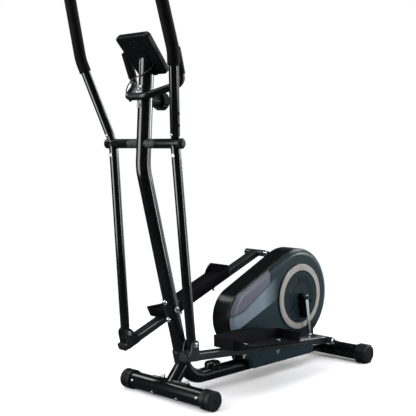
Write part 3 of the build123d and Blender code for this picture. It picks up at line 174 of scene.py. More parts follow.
@dataclass(frozen=True)
class Finish:
    """A surface as it leaves the factory: two tones, gloss and fine relief."""

    name: str
    colour: str
    tint: str
    rough: float
    metal: float = 0.0
    coat: float = 0.0
    sheen: float = 0.0
    clear: float = 0.0
    shine: float = 0.5
    blotch_mm: float = 40.0
    grain: Grain = Grain.PEEL
    grain_mm: float = 3.0
    relief_mm: float = 0.02
    smear: float = 0.06
    edge_mm: float = 0.6
    coat_rough: float = 0.05
    sheen_rough: float = 0.4
    tone_span: Pair = (0.35, 0.65)
    gloss_span: Pair = (0.3, 0.7)

    def build(self) -> bpy.types.Material:
        """Makes the node material.

        Returns:
            A material named for the real one.
        """
        made = bpy.data.materials.new(self.name)
        made.use_nodes = True
        made.diffuse_color = linear(self.colour)
        tree = made.node_tree
        tree.nodes.clear()
        place = add_node(tree, "ShaderNodeTexCoord").outputs["Object"]
        shader = add_node(tree, "ShaderNodeBsdfPrincipled", {
            "Base Color": self.paint(tree, place),
            "Roughness": self.gloss(tree, place),
            "Normal": self.surface(tree, place),
            "Metallic": self.metal,
            "Specular IOR Level": self.lustre(tree, place),
            "Coat Weight": self.coat,
            "Coat Roughness": self.coat_rough,
            "Sheen Weight": self.sheen,
            "Sheen Roughness": self.sheen_rough,
            "Transmission Weight": self.clear,
        })
        add_node(tree, "ShaderNodeOutputMaterial", {"Surface": shader.outputs[0]})
        return made

    def paint(self, tree: Tree, place: Socket) -> Socket:
        """Mixes the two tones in soft blotches.

        Args:
            tree: Node tree of the material.
            place: Coordinates in metres.

        Returns:
            Socket with the surface colour.
        """
        cloud = add_node(tree, "ShaderNodeTexNoise", {
            "Vector": place, "Scale": 1 / (self.blotch_mm * MM), "Detail": 4.0, "Roughness": 0.6})
        spread = ramp(tree, cloud.outputs[0], *self.tone_span)
        return blend(tree, spread, linear(self.colour), linear(self.tint))

    def lustre(self, tree: Tree, place: Socket) -> Any:
        """Gives the strength of the plain reflection."""
        return self.shine

    def gloss(self, tree: Tree, place: Socket) -> Socket:
        """Varies the roughness as handling and moulding leave it.

        Args:
            tree: Node tree of the material.
            place: Coordinates in metres.

        Returns:
            Socket with the roughness.
        """
        cloud = add_node(tree, "ShaderNodeTexNoise", {
            "Vector": place, "Scale": 0.7 / (self.blotch_mm * MM), "Detail": 5.0})
        return ramp(tree, cloud.outputs[0], *self.gloss_span,
                    max(self.rough - self.smear, 0.01), self.rough + self.smear)

    def surface(self, tree: Tree, place: Socket) -> Socket:
        """Rounds the edges and adds the fine relief.

        Args:
            tree: Node tree of the material.
            place: Coordinates in metres.

        Returns:
            Socket with the bent normal.
        """
        scale = 1 / (self.grain_mm * MM)
        if self.grain is Grain.CELLS:
            height = add_node(tree, "ShaderNodeTexVoronoi", {"Vector": place, "Scale": scale}).outputs[0]
        else:
            detail = 1.0 if self.grain is Grain.PEEL else 6.0
            height = add_node(tree, "ShaderNodeTexNoise", {
                "Vector": place, "Scale": scale, "Detail": detail, "Roughness": 0.7}).outputs[0]
        edge = add_node(tree, "ShaderNodeBevel", {"Radius": self.edge_mm * MM}, samples=4)
        bump = add_node(tree, "ShaderNodeBump", {
            "Height": height, "Normal": edge.outputs[0],
            "Distance": self.relief_mm * MM, "Strength": 1.0})
        return bump.outputs[0]


@dataclass(frozen=True)
class MaskedFinish(Finish):
    """A finish with more colours laid inside masks, whose edges are crisp."""

    crisp_mm: float = 0.4

    def edge(self, tree: Tree, depth: Socket) -> Socket:
        """Turns a distance into a mask with a crisp edge."""
        return ramp(tree, depth, -self.crisp_mm * MM, self.crisp_mm * MM)

    def lay(self, tree: Tree, depth: Socket, under: Socket, over: Any) -> Socket:
        """Puts one colour over another where a depth is positive."""
        return blend(tree, self.edge(tree, depth), under, over)


@dataclass(frozen=True)
class RingPaint(MaskedFinish):
    """Light ring with a dark line painted along both edges as painted shade of the groove it sits in, sizes
    in millimetres.
    """

    # Dark tone painted along the ring's edges as the shade of its groove
    line: str = "#15191c"
    centre: Pair = CRANK_AT
    inner: float = 104.0
    outer: float = 127.5

    def paint(self, tree: Tree, place: Socket) -> Socket:
        """Draws the two dark lines of painted shade.

        Args:
            tree: Node tree of the material.
            place: Coordinates in metres.

        Returns:
            Socket with the surface colour.
        """
        flat = calc_vector(tree, "MULTIPLY", place, (1.0, 0.0, 1.0))
        far = calc_vector(tree, "DISTANCE", flat, (self.centre[0] * MM, 0.0, self.centre[1] * MM))
        past = calc(tree, "SUBTRACT", far, self.outer * MM)
        short = calc(tree, "SUBTRACT", self.inner * MM, far)
        both = calc(tree, "MAXIMUM", past, short)
        return self.lay(tree, both, super().paint(tree, place), linear(self.line))


@dataclass(frozen=True)
class DiscPaint(MaskedFinish):
    """Slate disc with painted shade, near black, in its three slots, and its raised centre boss and tongue
    black, sizes in millimetres.
    """

    # Near black: the own colour of the raised centre boss and tongue, and painted shade in the slots
    black_and_slot_shade: str = "#050606"
    raised_y: float = 61.2
    centre: Pair = CRANK_AT
    rest_deg: float = CRANK_REST_DEG
    slots: int = 3
    slot_mid: float = 62.0
    slot_half: Pair = (3.5, 22.0)
    black_and_slot_shine: float = 0.1

    def paint(self, tree: Tree, place: Socket) -> Socket:
        """Paints shade into the slots and blackens what stands proud of the disc."""
        return self.lay(tree, self.dark(tree, place), super().paint(tree, place), linear(self.black_and_slot_shade))

    def lustre(self, tree: Tree, place: Socket) -> Any:
        """Dulls the painted slot shade and what is black."""
        return ramp(tree, self.edge(tree, self.dark(tree, place)), 0.0, 1.0, self.shine, self.black_and_slot_shine)

    def dark(self, tree: Tree, place: Socket) -> Socket:
        """Finds the slots, where shade is painted, and the raised centre boss and tongue.

        Args:
            tree: Node tree of the material.
            place: Coordinates in metres.

        Returns:
            Socket with the depth inside them, in metres.
        """
        y = add_node(tree, "ShaderNodeSeparateXYZ", {0: place}).outputs["Y"]
        dark = calc(tree, "SUBTRACT", calc(tree, "ABSOLUTE", y), self.raised_y * MM)
        arm = calc_vector(tree, "SUBTRACT", place, (self.centre[0] * MM, 0.0, self.centre[1] * MM))
        arm = calc_vector(tree, "MULTIPLY", arm, calc(tree, "SIGN", y))
        # Each slot is a recess only in paint: its shade is painted near black
        for k in range(self.slots):
            angle = math.radians(self.rest_deg) + math.tau * k / self.slots
            up = (math.sin(angle), 0.0, math.cos(angle))
            across = (math.cos(angle), 0.0, -math.sin(angle))
            far = calc_vector(tree, "DOT_PRODUCT", arm, up)
            off = calc_vector(tree, "DOT_PRODUCT", arm, across)
            along = self.within(tree, far, self.slot_mid, self.slot_half[1])
            beside = self.within(tree, off, 0.0, self.slot_half[0])
            dark = calc(tree, "MAXIMUM", dark, calc(tree, "MINIMUM", along, beside))
        return dark

    def within(self, tree: Tree, at: Socket, middle: float, half: float) -> Socket:
        """Measures how far inside a span a coordinate lies.

        Args:
            tree: Node tree of the material.
            at: Coordinate in metres.
            middle: Middle of the span, in millimetres.
            half: Half its length, in millimetres.

        Returns:
            Socket with the depth inside, in metres.
        """
        off = calc(tree, "ABSOLUTE", calc(tree, "SUBTRACT", at, middle * MM))
        return calc(tree, "SUBTRACT", half * MM, off)


@dataclass(frozen=True)
class ClampPaint(MaskedFinish):
    """Black bar whose clamp plate on the post shows light mottled metal only on its side towards the left
    lamp, partly the plate's own metal and partly a painted highlight, sizes in millimetres.
    """

    # Light mottled tones: the plate's metal, and a painted highlight of the left lamp
    light: str = "#b4b8ba"
    dark: str = "#2b2e30"
    mottle_mm: float = 7.0
    post_x: float = 475.3
    post_fall: float = -0.05486
    reach: float = 28.7
    highlight_side_y: float = 8.0
    mottle_span: Pair = (0.42, 0.56)

    def paint(self, tree: Tree, place: Socket) -> Socket:
        """Paints the plate round the post's axis with the mottled metal and highlight, on its side towards
        the left lamp.

        Args:
            tree: Node tree of the material.
            place: Coordinates in metres.

        Returns:
            Socket with the surface colour.
        """
        split = add_node(tree, "ShaderNodeSeparateXYZ", {0: place})
        axis = calc(tree, "MULTIPLY_ADD", split.outputs["Z"], self.post_fall, self.post_x * MM)
        ahead = calc(tree, "SUBTRACT", split.outputs["X"], axis)
        flat = add_node(tree, "ShaderNodeCombineXYZ", {0: ahead, 1: split.outputs["Y"]}).outputs[0]
        near = calc(tree, "SUBTRACT", self.reach * MM, calc_vector(tree, "LENGTH", flat))
        # Only the side of the plate towards the left lamp, where its highlight falls, is painted light
        front = calc(tree, "SUBTRACT", self.highlight_side_y * MM, split.outputs["Y"])
        plate = calc(tree, "MINIMUM", near, front)
        cloud = add_node(tree, "ShaderNodeTexNoise", {
            "Vector": place, "Scale": 1 / (self.mottle_mm * MM), "Detail": 3.0})
        tone = ramp(tree, cloud.outputs[0], *self.mottle_span)
        metal_and_highlight = blend(tree, tone, linear(self.dark), linear(self.light))
        return self.lay(tree, plate, super().paint(tree, place), metal_and_highlight)


@dataclass(frozen=True)
class CoverPaint(MaskedFinish):
    """Sprayed side cover: a grey panel and a pale stripe over dark slate, in the X-Z plane."""

    panel: str = "#535560"
    stripe: str = "#64737d"
    base: str = "#0a0e11"
    skirt: str = "#1a2a30"
    line: str = "#2b3238"
    line_w: float = 2.5
    corner: float = 16.0
    panel_x: float = -161.0
    panel_at: Pair = (-75.0, 307.0)
    panel_falls: Pair = (-0.575, -0.25)
    panel_turn: Pair = (-16.0, 273.0)
    stripe_at: Pair = (-133.0, 262.0)
    stripe_fall: float = -0.39
    stripe_fade: Pair = (-208.0, -125.0)
    stripe_top: Pair = (-12.0, 2.0)
    wave_z: float = 166.0
    skirt_z: float = 118.0

    def paint(self, tree: Tree, place: Socket) -> Socket:
        """Lays the panel, the stripe, the dark foot and the paler skirt over the slate.

        Args:
            tree: Node tree of the material.
            place: Coordinates in metres.

        Returns:
            Socket with the surface colour.
        """
        slate = super().paint(tree, place)
        split = add_node(tree, "ShaderNodeSeparateXYZ", {0: place})
        x = split.outputs["X"]
        z = split.outputs["Z"]
        steep = self.above(tree, x, z, self.panel_at, self.panel_falls[0])
        gentle = self.above(tree, x, z, self.panel_turn, self.panel_falls[1])
        over = calc(tree, "MINIMUM", steep, gentle)
        ahead = calc(tree, "SUBTRACT", x, self.panel_x * MM)
        panel = calc(tree, "SMOOTH_MIN", over, ahead, self.corner * MM)
        low = self.above(tree, x, z, self.stripe_at, self.stripe_fall)
        fade = ramp(tree, x, self.stripe_fade[0] * MM, self.stripe_fade[1] * MM)
        under = ramp(tree, over, self.stripe_top[0] * MM, self.stripe_top[1] * MM, 1.0, 0.0)
        band = calc(tree, "MULTIPLY", self.edge(tree, low), calc(tree, "MULTIPLY", fade, under))
        colour = blend(tree, band, slate, linear(self.stripe))
        colour = self.lay(tree, calc(tree, "ADD", panel, self.line_w * MM), colour, linear(self.line))
        colour = self.lay(tree, panel, colour, linear(self.panel))
        for height, tone in ((self.wave_z, self.base), (self.skirt_z, self.skirt)):
            colour = self.lay(tree, calc(tree, "SUBTRACT", height * MM, z), colour, linear(tone))
        return colour

    def above(self, tree: Tree, x: Socket, z: Socket, at: Pair, fall: float) -> Socket:
        """Measures how far a point lies above a sloping line.

        Args:
            tree: Node tree of the material.
            x: Coordinate along the machine.
            z: Height.
            at: A point on the line, in millimetres.
            fall: Rise of the line per unit of x.

        Returns:
            Socket with the height over the line, in metres.
        """
        line = calc(tree, "MULTIPLY_ADD", x, fall, (at[1] - fall * at[0]) * MM)
        return calc(tree, "SUBTRACT", z, line)


# Finish of each material slot in the record, and of a few looks that share a slot there
FINISHES: dict[str, Finish] = {
    # Black powder paint: deep gloss with long, slightly wavy highlights
    "tube_paint": Finish("gloss_black_powder_paint", "#030404", "#060708", 0.17, coat=0.3, shine=0.5,
                         relief_mm=0.003, smear=0.02),
    # Pedal bars and their ears: the same black in a satin coat, its base colour lifted to dark grey as a
    # painted reflection of the side light on their flanks
    "bar_paint_painted_reflection": Finish("satin_black_paint_painted_reflection", "#141a19", "#181e1d", 0.24, coat=0.2, shine=0.5,
                        relief_mm=0.004, smear=0.02),
    # Pulse bar: the same black, its clamp plate light mottled metal that also serves as a painted highlight
    # on the side towards the left lamp
    "clamp_paint": ClampPaint("black_paint_clamp_metal_and_highlight", "#030404", "#060708", 0.28, shine=0.4,
                              relief_mm=0.004),
    # Moulded end caps, plugs and the post collar: charcoal with a soft, broken shine
    "cap_plastic": Finish("charcoal_polypropylene", "#0e0f11", "#141517", 0.42, shine=0.25, grain=Grain.SPARK,
                          grain_mm=0.8, relief_mm=0.03),
    # Axle spacers: recycled plastic with a mottled grey
    "spacer_plastic": Finish("mottled_grey_abs", "#16181c", "#33383e", 0.38, shine=0.3, blotch_mm=14.0,
                             grain=Grain.SPARK, grain_mm=1.0, relief_mm=0.05),
    # Foot trays: rubbery charcoal that scatters the light
    "pedal_plastic": Finish("textured_charcoal_pp", "#060608", "#0a0a0d", 0.5, shine=0.08, grain=Grain.SPARK,
                            grain_mm=0.9, relief_mm=0.07),
    # Bolts and washers: bright zinc with tiny scuffs
    "bolt_steel": Finish("zinc_plated_steel", "#d2d5d8", "#b6babf", 0.24, metal=0.85, blotch_mm=6.0,
                         grain_mm=1.2, relief_mm=0.01, edge_mm=0.4),
    # Small screws on the covers and handlebars: dark steel, hardly brighter than the paint; black oxide on
    # the handlebars, and on the covers the dark tone is painted shade of the holes the screws sit in
    "screw_steel_and_hole_shade": Finish("dark_steel_and_hole_shade", "#191b1d", "#26292c", 0.38, metal=0.7, blotch_mm=4.0,
                          grain_mm=1.0, relief_mm=0.01, edge_mm=0.4),
    # Shafts: ground steel, a little duller than the plating
    "shaft_steel": Finish("ground_steel", "#9ea2a6", "#85898e", 0.3, metal=1.0, blotch_mm=8.0,
                          grain=Grain.SPARK, grain_mm=0.6, relief_mm=0.01),
    # Crank arms: polished chrome with clean dark and light bands
    "crank_chrome": Finish("polished_chrome", "#d9dcdf", "#cdd1d5", 0.08, metal=1.0, smear=0.03,
                           grain_mm=6.0, relief_mm=0.006, edge_mm=1.2),
    # Flywheel: machined cast iron
    "wheel_iron": Finish("machined_cast_iron", "#55585b", "#44474a", 0.45, metal=1.0, blotch_mm=12.0,
                         grain=Grain.SPARK, grain_mm=0.7, relief_mm=0.03),
    # Drive belt: dull black rubber
    "belt_rubber": Finish("belt_rubber", "#151515", "#1e1e1e", 0.7, grain=Grain.SPARK, grain_mm=0.7),
    # Sensor wire: soft black PVC jacket
    "wire_rubber": Finish("black_pvc_jacket", "#0e0e0f", "#17181a", 0.45, grain_mm=1.2, blotch_mm=10.0),
    # Grips: closed-cell foam rubber, matt with a soft pale edge
    "grip_foam": Finish("nbr_foam_rubber", "#030304", "#060607", 0.62, sheen=0.02, shine=0.07, blotch_mm=18.0,
                        grain=Grain.CELLS, grain_mm=0.9, relief_mm=0.16),
    # Housing rim: piano-black plastic that mirrors the room
    "rim_plastic": Finish("gloss_black_abs", "#050606", "#090a0b", 0.2, shine=0.35, grain_mm=9.0,
                          relief_mm=0.02, smear=0.04, edge_mm=1.0),
    # Side covers: sprayed satin paint in zones
    "cover_plastic": CoverPaint("sprayed_cover_paint", "#14242b", "#111f26", 0.3, shine=0.24,
                                blotch_mm=120.0, relief_mm=0.012, edge_mm=1.2),
    # Rings on the covers: warm light grey, with painted shade along both edges where they sit in grooves
    "ring_plastic": RingPaint("warm_grey_abs", "#7d7a77", "#878480", 0.34, grain=Grain.SPARK, grain_mm=0.8,
                              relief_mm=0.015, edge_mm=1.2),
    # Crank discs: satin slate with painted shade in the slots and a black centre boss
    "disc_plastic": DiscPaint("satin_slate_abs", "#121e24", "#172329", 0.34, shine=0.12, grain=Grain.SPARK,
                              grain_mm=0.8, relief_mm=0.02, edge_mm=0.8),
    # Drive pulley: plain dark nylon
    "pulley_plastic": Finish("dark_nylon", "#232323", "#2c2c2c", 0.5, grain=Grain.SPARK),
    # Console case, bracket and knob: fine-grained black
    "console_plastic": Finish("fine_grained_black_abs", "#050607", "#090a0b", 0.36, shine=0.12,
                              grain=Grain.SPARK, grain_mm=0.6, relief_mm=0.03, edge_mm=1.2),
    # Console window: clear acrylic
    "lens_glass": Finish("clear_acrylic", "#f4f6f6", "#eef1f1", 0.03, clear=1.0, smear=0.01,
                         relief_mm=0.002),
    # Buttons: grey silicone
    "button_rubber": Finish("grey_silicone", "#5a5e62", "#666a6e", 0.55, grain=Grain.SPARK, grain_mm=0.5),
    # Display glass behind the window: green-grey when off
    "display": Finish("lcd_panel", "#8a958c", "#828d85", 0.25, blotch_mm=60.0, relief_mm=0.003),
}


class PaintShop:
    """Makes each material once and puts it on nodes and pieces."""

    def __init__(self) -> None:
        """Starts with nothing mixed."""
        self.mixed: dict[str, bpy.types.Material] = {}

    def material(self, slot: str) -> bpy.types.Material:
        """Gives the material of a slot, made on first use.

        Args:
            slot: Key in FINISHES.

        Returns:
            The material.
        """
        if slot not in self.mixed:
            self.mixed[slot] = FINISHES[slot].build()
        return self.mixed[slot]

    def dress(self, nodes: Sequence[str], slot: str) -> None:
        """Puts a slot's material on CAD nodes.

        Args:
            nodes: Names of the nodes.
            slot: Key in FINISHES.
        """
        for name in nodes:
            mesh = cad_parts[name].data
            mesh.materials.clear()
            mesh.materials.append(self.material(slot))
            LOG.info("dressed %s in %s", name, slot)

    def piece(self, name: str, shape: Shape, slot: str, body: str, record_slot: str,
              sharp_deg: float = 35.0) -> bpy.types.Object:
        """Turns a worked shape into a shown piece that rides a body.

        Args:
            name: Name of the new object.
            shape: Finished bmesh, which is freed here.
            slot: Key in FINISHES for its look.
            body: CAD body that carries it.
            record_slot: Material slot in the record; not used.
            sharp_deg: Edges steeper than this stay sharp.

        Returns:
            The new object.
        """
        bmesh.ops.remove_doubles(shape, verts=shape.verts, dist=0.001 * MM)
        bmesh.ops.recalc_face_normals(shape, faces=shape.faces)
        mesh = bpy.data.meshes.new(name)
        shape.to_mesh(mesh)
        shape.free()
        mesh.shade_smooth()
        mesh.set_sharp_from_angle(angle=math.radians(sharp_deg))
        mesh.materials.append(self.material(slot))
        made = bpy.data.objects.new(name, mesh)
        bpy.context.scene.collection.objects.link(made)
        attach(made, body)
        LOG.info("made %s", name)
        return made


@dataclass(frozen=True)
class Station:
    """One ring of a swept shape: its centre, direction and radius, in metres."""

    at: Vector
    way: Vector
    radius: float


def sweep(shape: Shape, stations: Sequence[Station], segments: int, closed: bool = False) -> None:
    """Draws a round section along a row of stations.

    Args:
        shape: Mesh that takes the sweep.
        stations: Rings in order.
        segments: Corners of each ring.
        closed: True joins the last ring to the first, otherwise both ends are filled.
    """
    rings = []
    turn = Vector((0, 0, 1)).rotation_difference(stations[0].way)
    last = stations[0].way
    for station in stations:
        turn = last.rotation_difference(station.way) @ turn
        last = station.way
        place = Matrix.LocRotScale(station.at, turn, None)
        made = bmesh.ops.create_circle(shape, segments=segments, radius=station.radius, matrix=place)
        rings.append([edge for edge in shape.edges if set(edge.verts) <= set(made["verts"])])
    pairs = list(zip(rings, rings[1:]))
    if closed:
        pairs.append((rings[-1], rings[0]))
    for first, second in pairs:
        bmesh.ops.bridge_loops(shape, edges=first + second)
    if not closed:
        bmesh.ops.edgeloop_fill(shape, edges=rings[0])
        bmesh.ops.edgeloop_fill(shape, edges=rings[-1])


def rounded_path(a: Vector, b: Vector, c: Vector, radius: float, steps: int) -> list[tuple[Vector, Vector]]:
    """Walks from a to c with the corner at b rounded.

    Args:
        a: Start.
        b: Corner.
        c: End.
        radius: Bend radius at the corner.
        steps: Points along the bend.

    Returns:
        Points with their directions.
    """
    first = (b - a).normalized()
    second = (c - b).normalized()
    turn = first.angle(second)
    cut = radius * math.tan(turn / 2)
    axis = first.cross(second).normalized()
    inward = axis.cross(first)
    start = b - first * cut
    path = [(a, first)]
    for k in range(steps + 1):
        angle = turn * k / steps
        way = Matrix.Rotation(angle, 3, axis) @ first
        arm = Matrix.Rotation(angle, 3, axis) @ inward
        path.append((start + inward * radius - arm * radius, way))
    path.append((c, second))
    return path


def foam_sleeve(path: Sequence[tuple[Vector, Vector]], radius: float, bore: float,
                dome: float) -> list[Station]:
    """Lays out a foam sleeve with a rolled mouth and a domed end.

    Args:
        path: Points with their directions, mouth first.
        radius: Outer radius.
        bore: Radius of the tube inside.
        dome: Height of the closed end past the last point.

    Returns:
        Stations for the sweep.
    """
    roll = radius - bore
    rings = []
    at, way = path[0]
    for k in range(MOUTH_STEPS + 1):
        angle = math.pi / 2 * k / MOUTH_STEPS
        rings.append(Station(at + way * roll * (1 - math.cos(angle)), way, bore + roll * math.sin(angle)))
    for at, way in path[1:-1]:
        rings.append(Station(at, way, radius))
    at, way = path[-1]
    for k in range(END_STEPS + 1):
        angle = math.radians(END_DEG) * k / END_STEPS
        drawn = radius - END_DRAW * radius * (1 - math.cos(angle))
        rings.append(Station(at + way * dome * math.sin(angle), way, drawn))
    return rings


def facing(at: Vector, way: Vector) -> Matrix:
    """Gives the place of a shape whose Z axis points along a direction."""
    return Matrix.LocRotScale(at, Vector((0, 0, 1)).rotation_difference(way), None)


def disc(shape: Shape, place: Matrix, sides: int, radii: Pair, depth: float, soft: float) -> None:
    """Adds a short round or six-sided bar with softened edges.

    Args:
        shape: Mesh that takes it.
        place: Where its middle is, with Z along its axis.
        sides: Corners of its outline.
        radii: Radius at its foot and at its top.
        depth: Its length.
        soft: Width of the bevel on its edges.
    """
    made = bmesh.ops.create_cone(shape, cap_ends=True, segments=sides, radius1=radii[0], radius2=radii[1],
                                 depth=depth, matrix=place)
    edges = [e for e in shape.edges if set(e.verts) <= set(made["verts"])]
    bmesh.ops.bevel(shape, geom=edges, offset=soft, affect="EDGES", segments=2, profile=0.5, material=-1)


def bolt_head(shape: Shape, at: Vector, way: Vector, radius: float, height: float) -> None:
    """Adds a hexagon head on a round washer.

    Args:
        shape: Mesh that takes the head.
        at: Middle of its seat.
        way: Direction from the seat outwards.
        radius: Radius of the head.
        height: Height of the head over the washer.
    """
    place = facing(at, way)
    wide = radius * WASHER_SHARE
    lift = height / 2 + (WASHER_MID + WASHER_T / 2) * MM
    low = Matrix.Translation((0, 0, WASHER_MID * MM))
    high = Matrix.Translation((0, 0, lift))
    disc(shape, place @ low, ROUND_SIDES, (wide, wide), WASHER_T * MM, WASHER_EDGE * MM)
    disc(shape, place @ high, 6, (radius, radius), height, HEAD_EDGE * MM)


@dataclass
class Assembly:
    """A group of nodes that is dressed, with the pieces that are added to it."""

    shop: PaintShop

    def dress(self) -> None:
        """Puts the finishes on the group's nodes."""
        raise NotImplementedError

    def build(self) -> None:
        """Adds pieces of the scene's own, which not every group has."""


@dataclass
class FloorFrame(Assembly):
    """Stabilisers, beam and post, with their caps, collar and bolts, sizes in millimetres."""

    front_x: float = FRONT_X
    axis_z: float = 34.5
    screw_y: float = 160.0
    screw_z: float = 41.0
    screw_head: Pair = (3.2, 2.2)
    stab_r: float = 30.0
    post_heads: tuple[tuple[Point, Point], ...] = (
        ((334.39, 0.0, 339.58), (0.9665, 0.0, -0.2566)),
        ((317.92, 0.0, 277.58), (0.9665, 0.0, -0.2566)),
        ((301.73, 25.0, 314.0), (0.0, 1.0, 0.0)),
        ((301.73, -25.0, 314.0), (0.0, -1.0, 0.0)),
    )
    head_h: float = 6.4
    # Thin black hexagon on each post bolt head, painted shade standing for its socket
    socket_shade_r: float = 4.4
    socket_shade_t: float = 0.4

    def dress(self) -> None:
        """Puts the finishes on the frame's nodes."""
        self.shop.dress(("beam", "front_stabiliser", "rear_stabiliser", "post", "crank_post",
                         "flywheel_fork"), "tube_paint")
        self.shop.dress(("front_caps", "rear_caps"), "cap_plastic")
        self.shop.dress(("stabiliser_bolts", "post_bolts"), "bolt_steel")
        self.shop.dress(("axle_spacers",), "spacer_plastic")
        self.shop.dress(("axle_caps", "post_collar"), "cap_plastic")
        self.shop.dress(("axle",), "shaft_steel")

    def build(self) -> None:
        """Adds the small screws that hold the front caps, and thin black hexagons on the post's bolt heads as
        painted shade in their sockets.
        """
        shape = bmesh.new()
        rise = (self.screw_z - self.axis_z) / self.stab_r
        out = Vector((math.sqrt(1 - rise ** 2), 0, rise))
        for side in Side:
            middle = Vector((self.front_x, side.value * self.screw_y, self.axis_z)) * MM
            seat = middle + out * self.stab_r * MM
            bolt_head(shape, seat, out, *(v * MM for v in self.screw_head))
        self.shop.piece("stabiliser_screws", shape, "bolt_steel", "frame", "bolt_steel")
        # Painted shade of the post bolts' sockets: thin black hexagons on the heads
        shape = bmesh.new()
        for seat, way in self.post_heads:
            out = Vector(way)
            spot = (Vector(seat) + out * self.head_h) * MM
            bmesh.ops.create_cone(shape, cap_ends=True, segments=6, radius1=self.socket_shade_r * MM,
                                  radius2=self.socket_shade_r * MM, depth=self.socket_shade_t * MM,
                                  matrix=facing(spot, out))
        self.shop.piece("post_bolt_socket_shade", shape, "console_plastic", "frame", "bolt_steel")


@dataclass
class Handle(Assembly):
    """One swinging arm with its upper handlebar and foam grip, sizes in millimetres."""

    side: Side
    rest_deg: float
    axle: Point = (429.9, 0.0, 883.0)
    arm_y: float = 153.0
    forward: float = 0.186
    outward: float = 0.278
    grip_forward: float = 0.170
    grip_outward: float = -0.035
    bend_z: float = 288.0
    top_z: float = 618.0
    bend_r: float = 120.0
    bend_steps: int = 14
    grip_z: float = 246.0
    grip_r: float = 20.0
    tube_r: float = 16.0
    dome: float = 10.0
    grip_sides: int = 48
    bolt_drop: float = 38.0
    bolt_size: Pair = (5.0, 3.6)
    screw_z: float = 32.0
    screw_size: Pair = (3.4, 2.4)
    weld_r: float = 2.0
    weld_ripple: float = 0.14
    weld_sides: int = 12
    weld_rings: int = 72
    weld_round: float = 0.01

    def place(self, x: float, y: float, z: float) -> Vector:
        """Takes a point of the left arm's own frame to this side's arm at rest.

        Args:
            x: Ahead of the axle.
            y: Off the middle plane.
            z: Above the axle.

        Returns:
            The point in the shared frame, in metres.
        """
        turned = Matrix.Rotation(math.radians(self.rest_deg), 3, "Y") @ Vector((x, y * self.side.value, z))
        return (turned + Vector(self.axle)) * MM

    def centre(self, z: float) -> Vector:
        """Finds the handlebar's centre line at a height.

        Args:
            z: Height above the axle in the arm's frame.

        Returns:
            The point in the shared frame.
        """
        low = min(z, self.bend_z)
        high = max(z - self.bend_z, 0.0)
        x = self.forward * low + self.grip_forward * high
        y = self.arm_y + self.outward * low + self.grip_outward * high
        return self.place(x, y, z)

    def dress(self) -> None:
        """Puts the finishes on the arm's nodes."""
        name = self.side.label
        self.shop.dress((f"{name}_swing_arm", f"{name}_handlebar"), "tube_paint")
        self.shop.dress((f"{name}_arm_bushes",), "cap_plastic")
        self.shop.dress((f"{name}_handle_bolts",), "screw_steel_and_hole_shade")

    def build(self) -> None:
        """Makes the foam grip, the weld bead and the two bolts on the arm's front."""
        name = self.side.label
        body = f"{name}_arm"
        path = rounded_path(self.centre(self.grip_z), self.centre(self.bend_z), self.centre(self.top_z),
                            self.bend_r * MM, self.bend_steps)
        shape = bmesh.new()
        sleeve = foam_sleeve(path, self.grip_r * MM, self.tube_r * MM, self.dome * MM)
        sweep(shape, sleeve, self.grip_sides)
        grip = self.shop.piece(f"{name}_foam_grip", shape, "grip_foam", body, "grip_foam")
        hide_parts(f"{name}_handle_grip")
        self.weld(body)
        shape = bmesh.new()
        seat = self.place(self.tube_r, self.arm_y, -self.bolt_drop)
        out = self.place(self.tube_r + 1, self.arm_y, -self.bolt_drop) - seat
        bolt_head(shape, seat, out.normalized(), *(v * MM for v in self.bolt_size))
        run = (self.centre(self.screw_z + 1) - self.centre(self.screw_z)).normalized()
        up = (out - run * out.dot(run)).normalized()
        seat = self.centre(self.screw_z) + up * self.tube_r * MM
        bolt_head(shape, seat, up, *(v * MM for v in self.screw_size))
        self.shop.piece(f"{name}_arm_bolts", shape, "bolt_steel", body, "bolt_steel")

    def weld(self, body: str) -> None:
        """Lays a weld bead where the arm's tube meets the pivot sleeve.

        Args:
            body: CAD body that carries it.
        """
        spots = []
        count = self.weld_rings
        for k in range(count):
            angle = 2 * math.pi * k / count
            drop = math.sqrt(math.sin(angle) ** 2 + self.weld_round)
            spots.append(self.place(self.tube_r * math.cos(angle), self.arm_y + self.tube_r * math.sin(angle),
                                    -self.tube_r * drop))
        rings = []
        for k, spot in enumerate(spots):
            way = (spots[(k + 1) % count] - spots[k - 1]).normalized()
            ripple = 1 + self.weld_ripple * math.sin(k * math.pi * 2 / 3)
            rings.append(Station(spot, way, self.weld_r * MM * ripple))
        shape = bmesh.new()
        sweep(shape, rings, self.weld_sides, closed=True)
        self.shop.piece(f"{self.side.label}_arm_weld", shape, "tube_paint", body, "tube_paint")


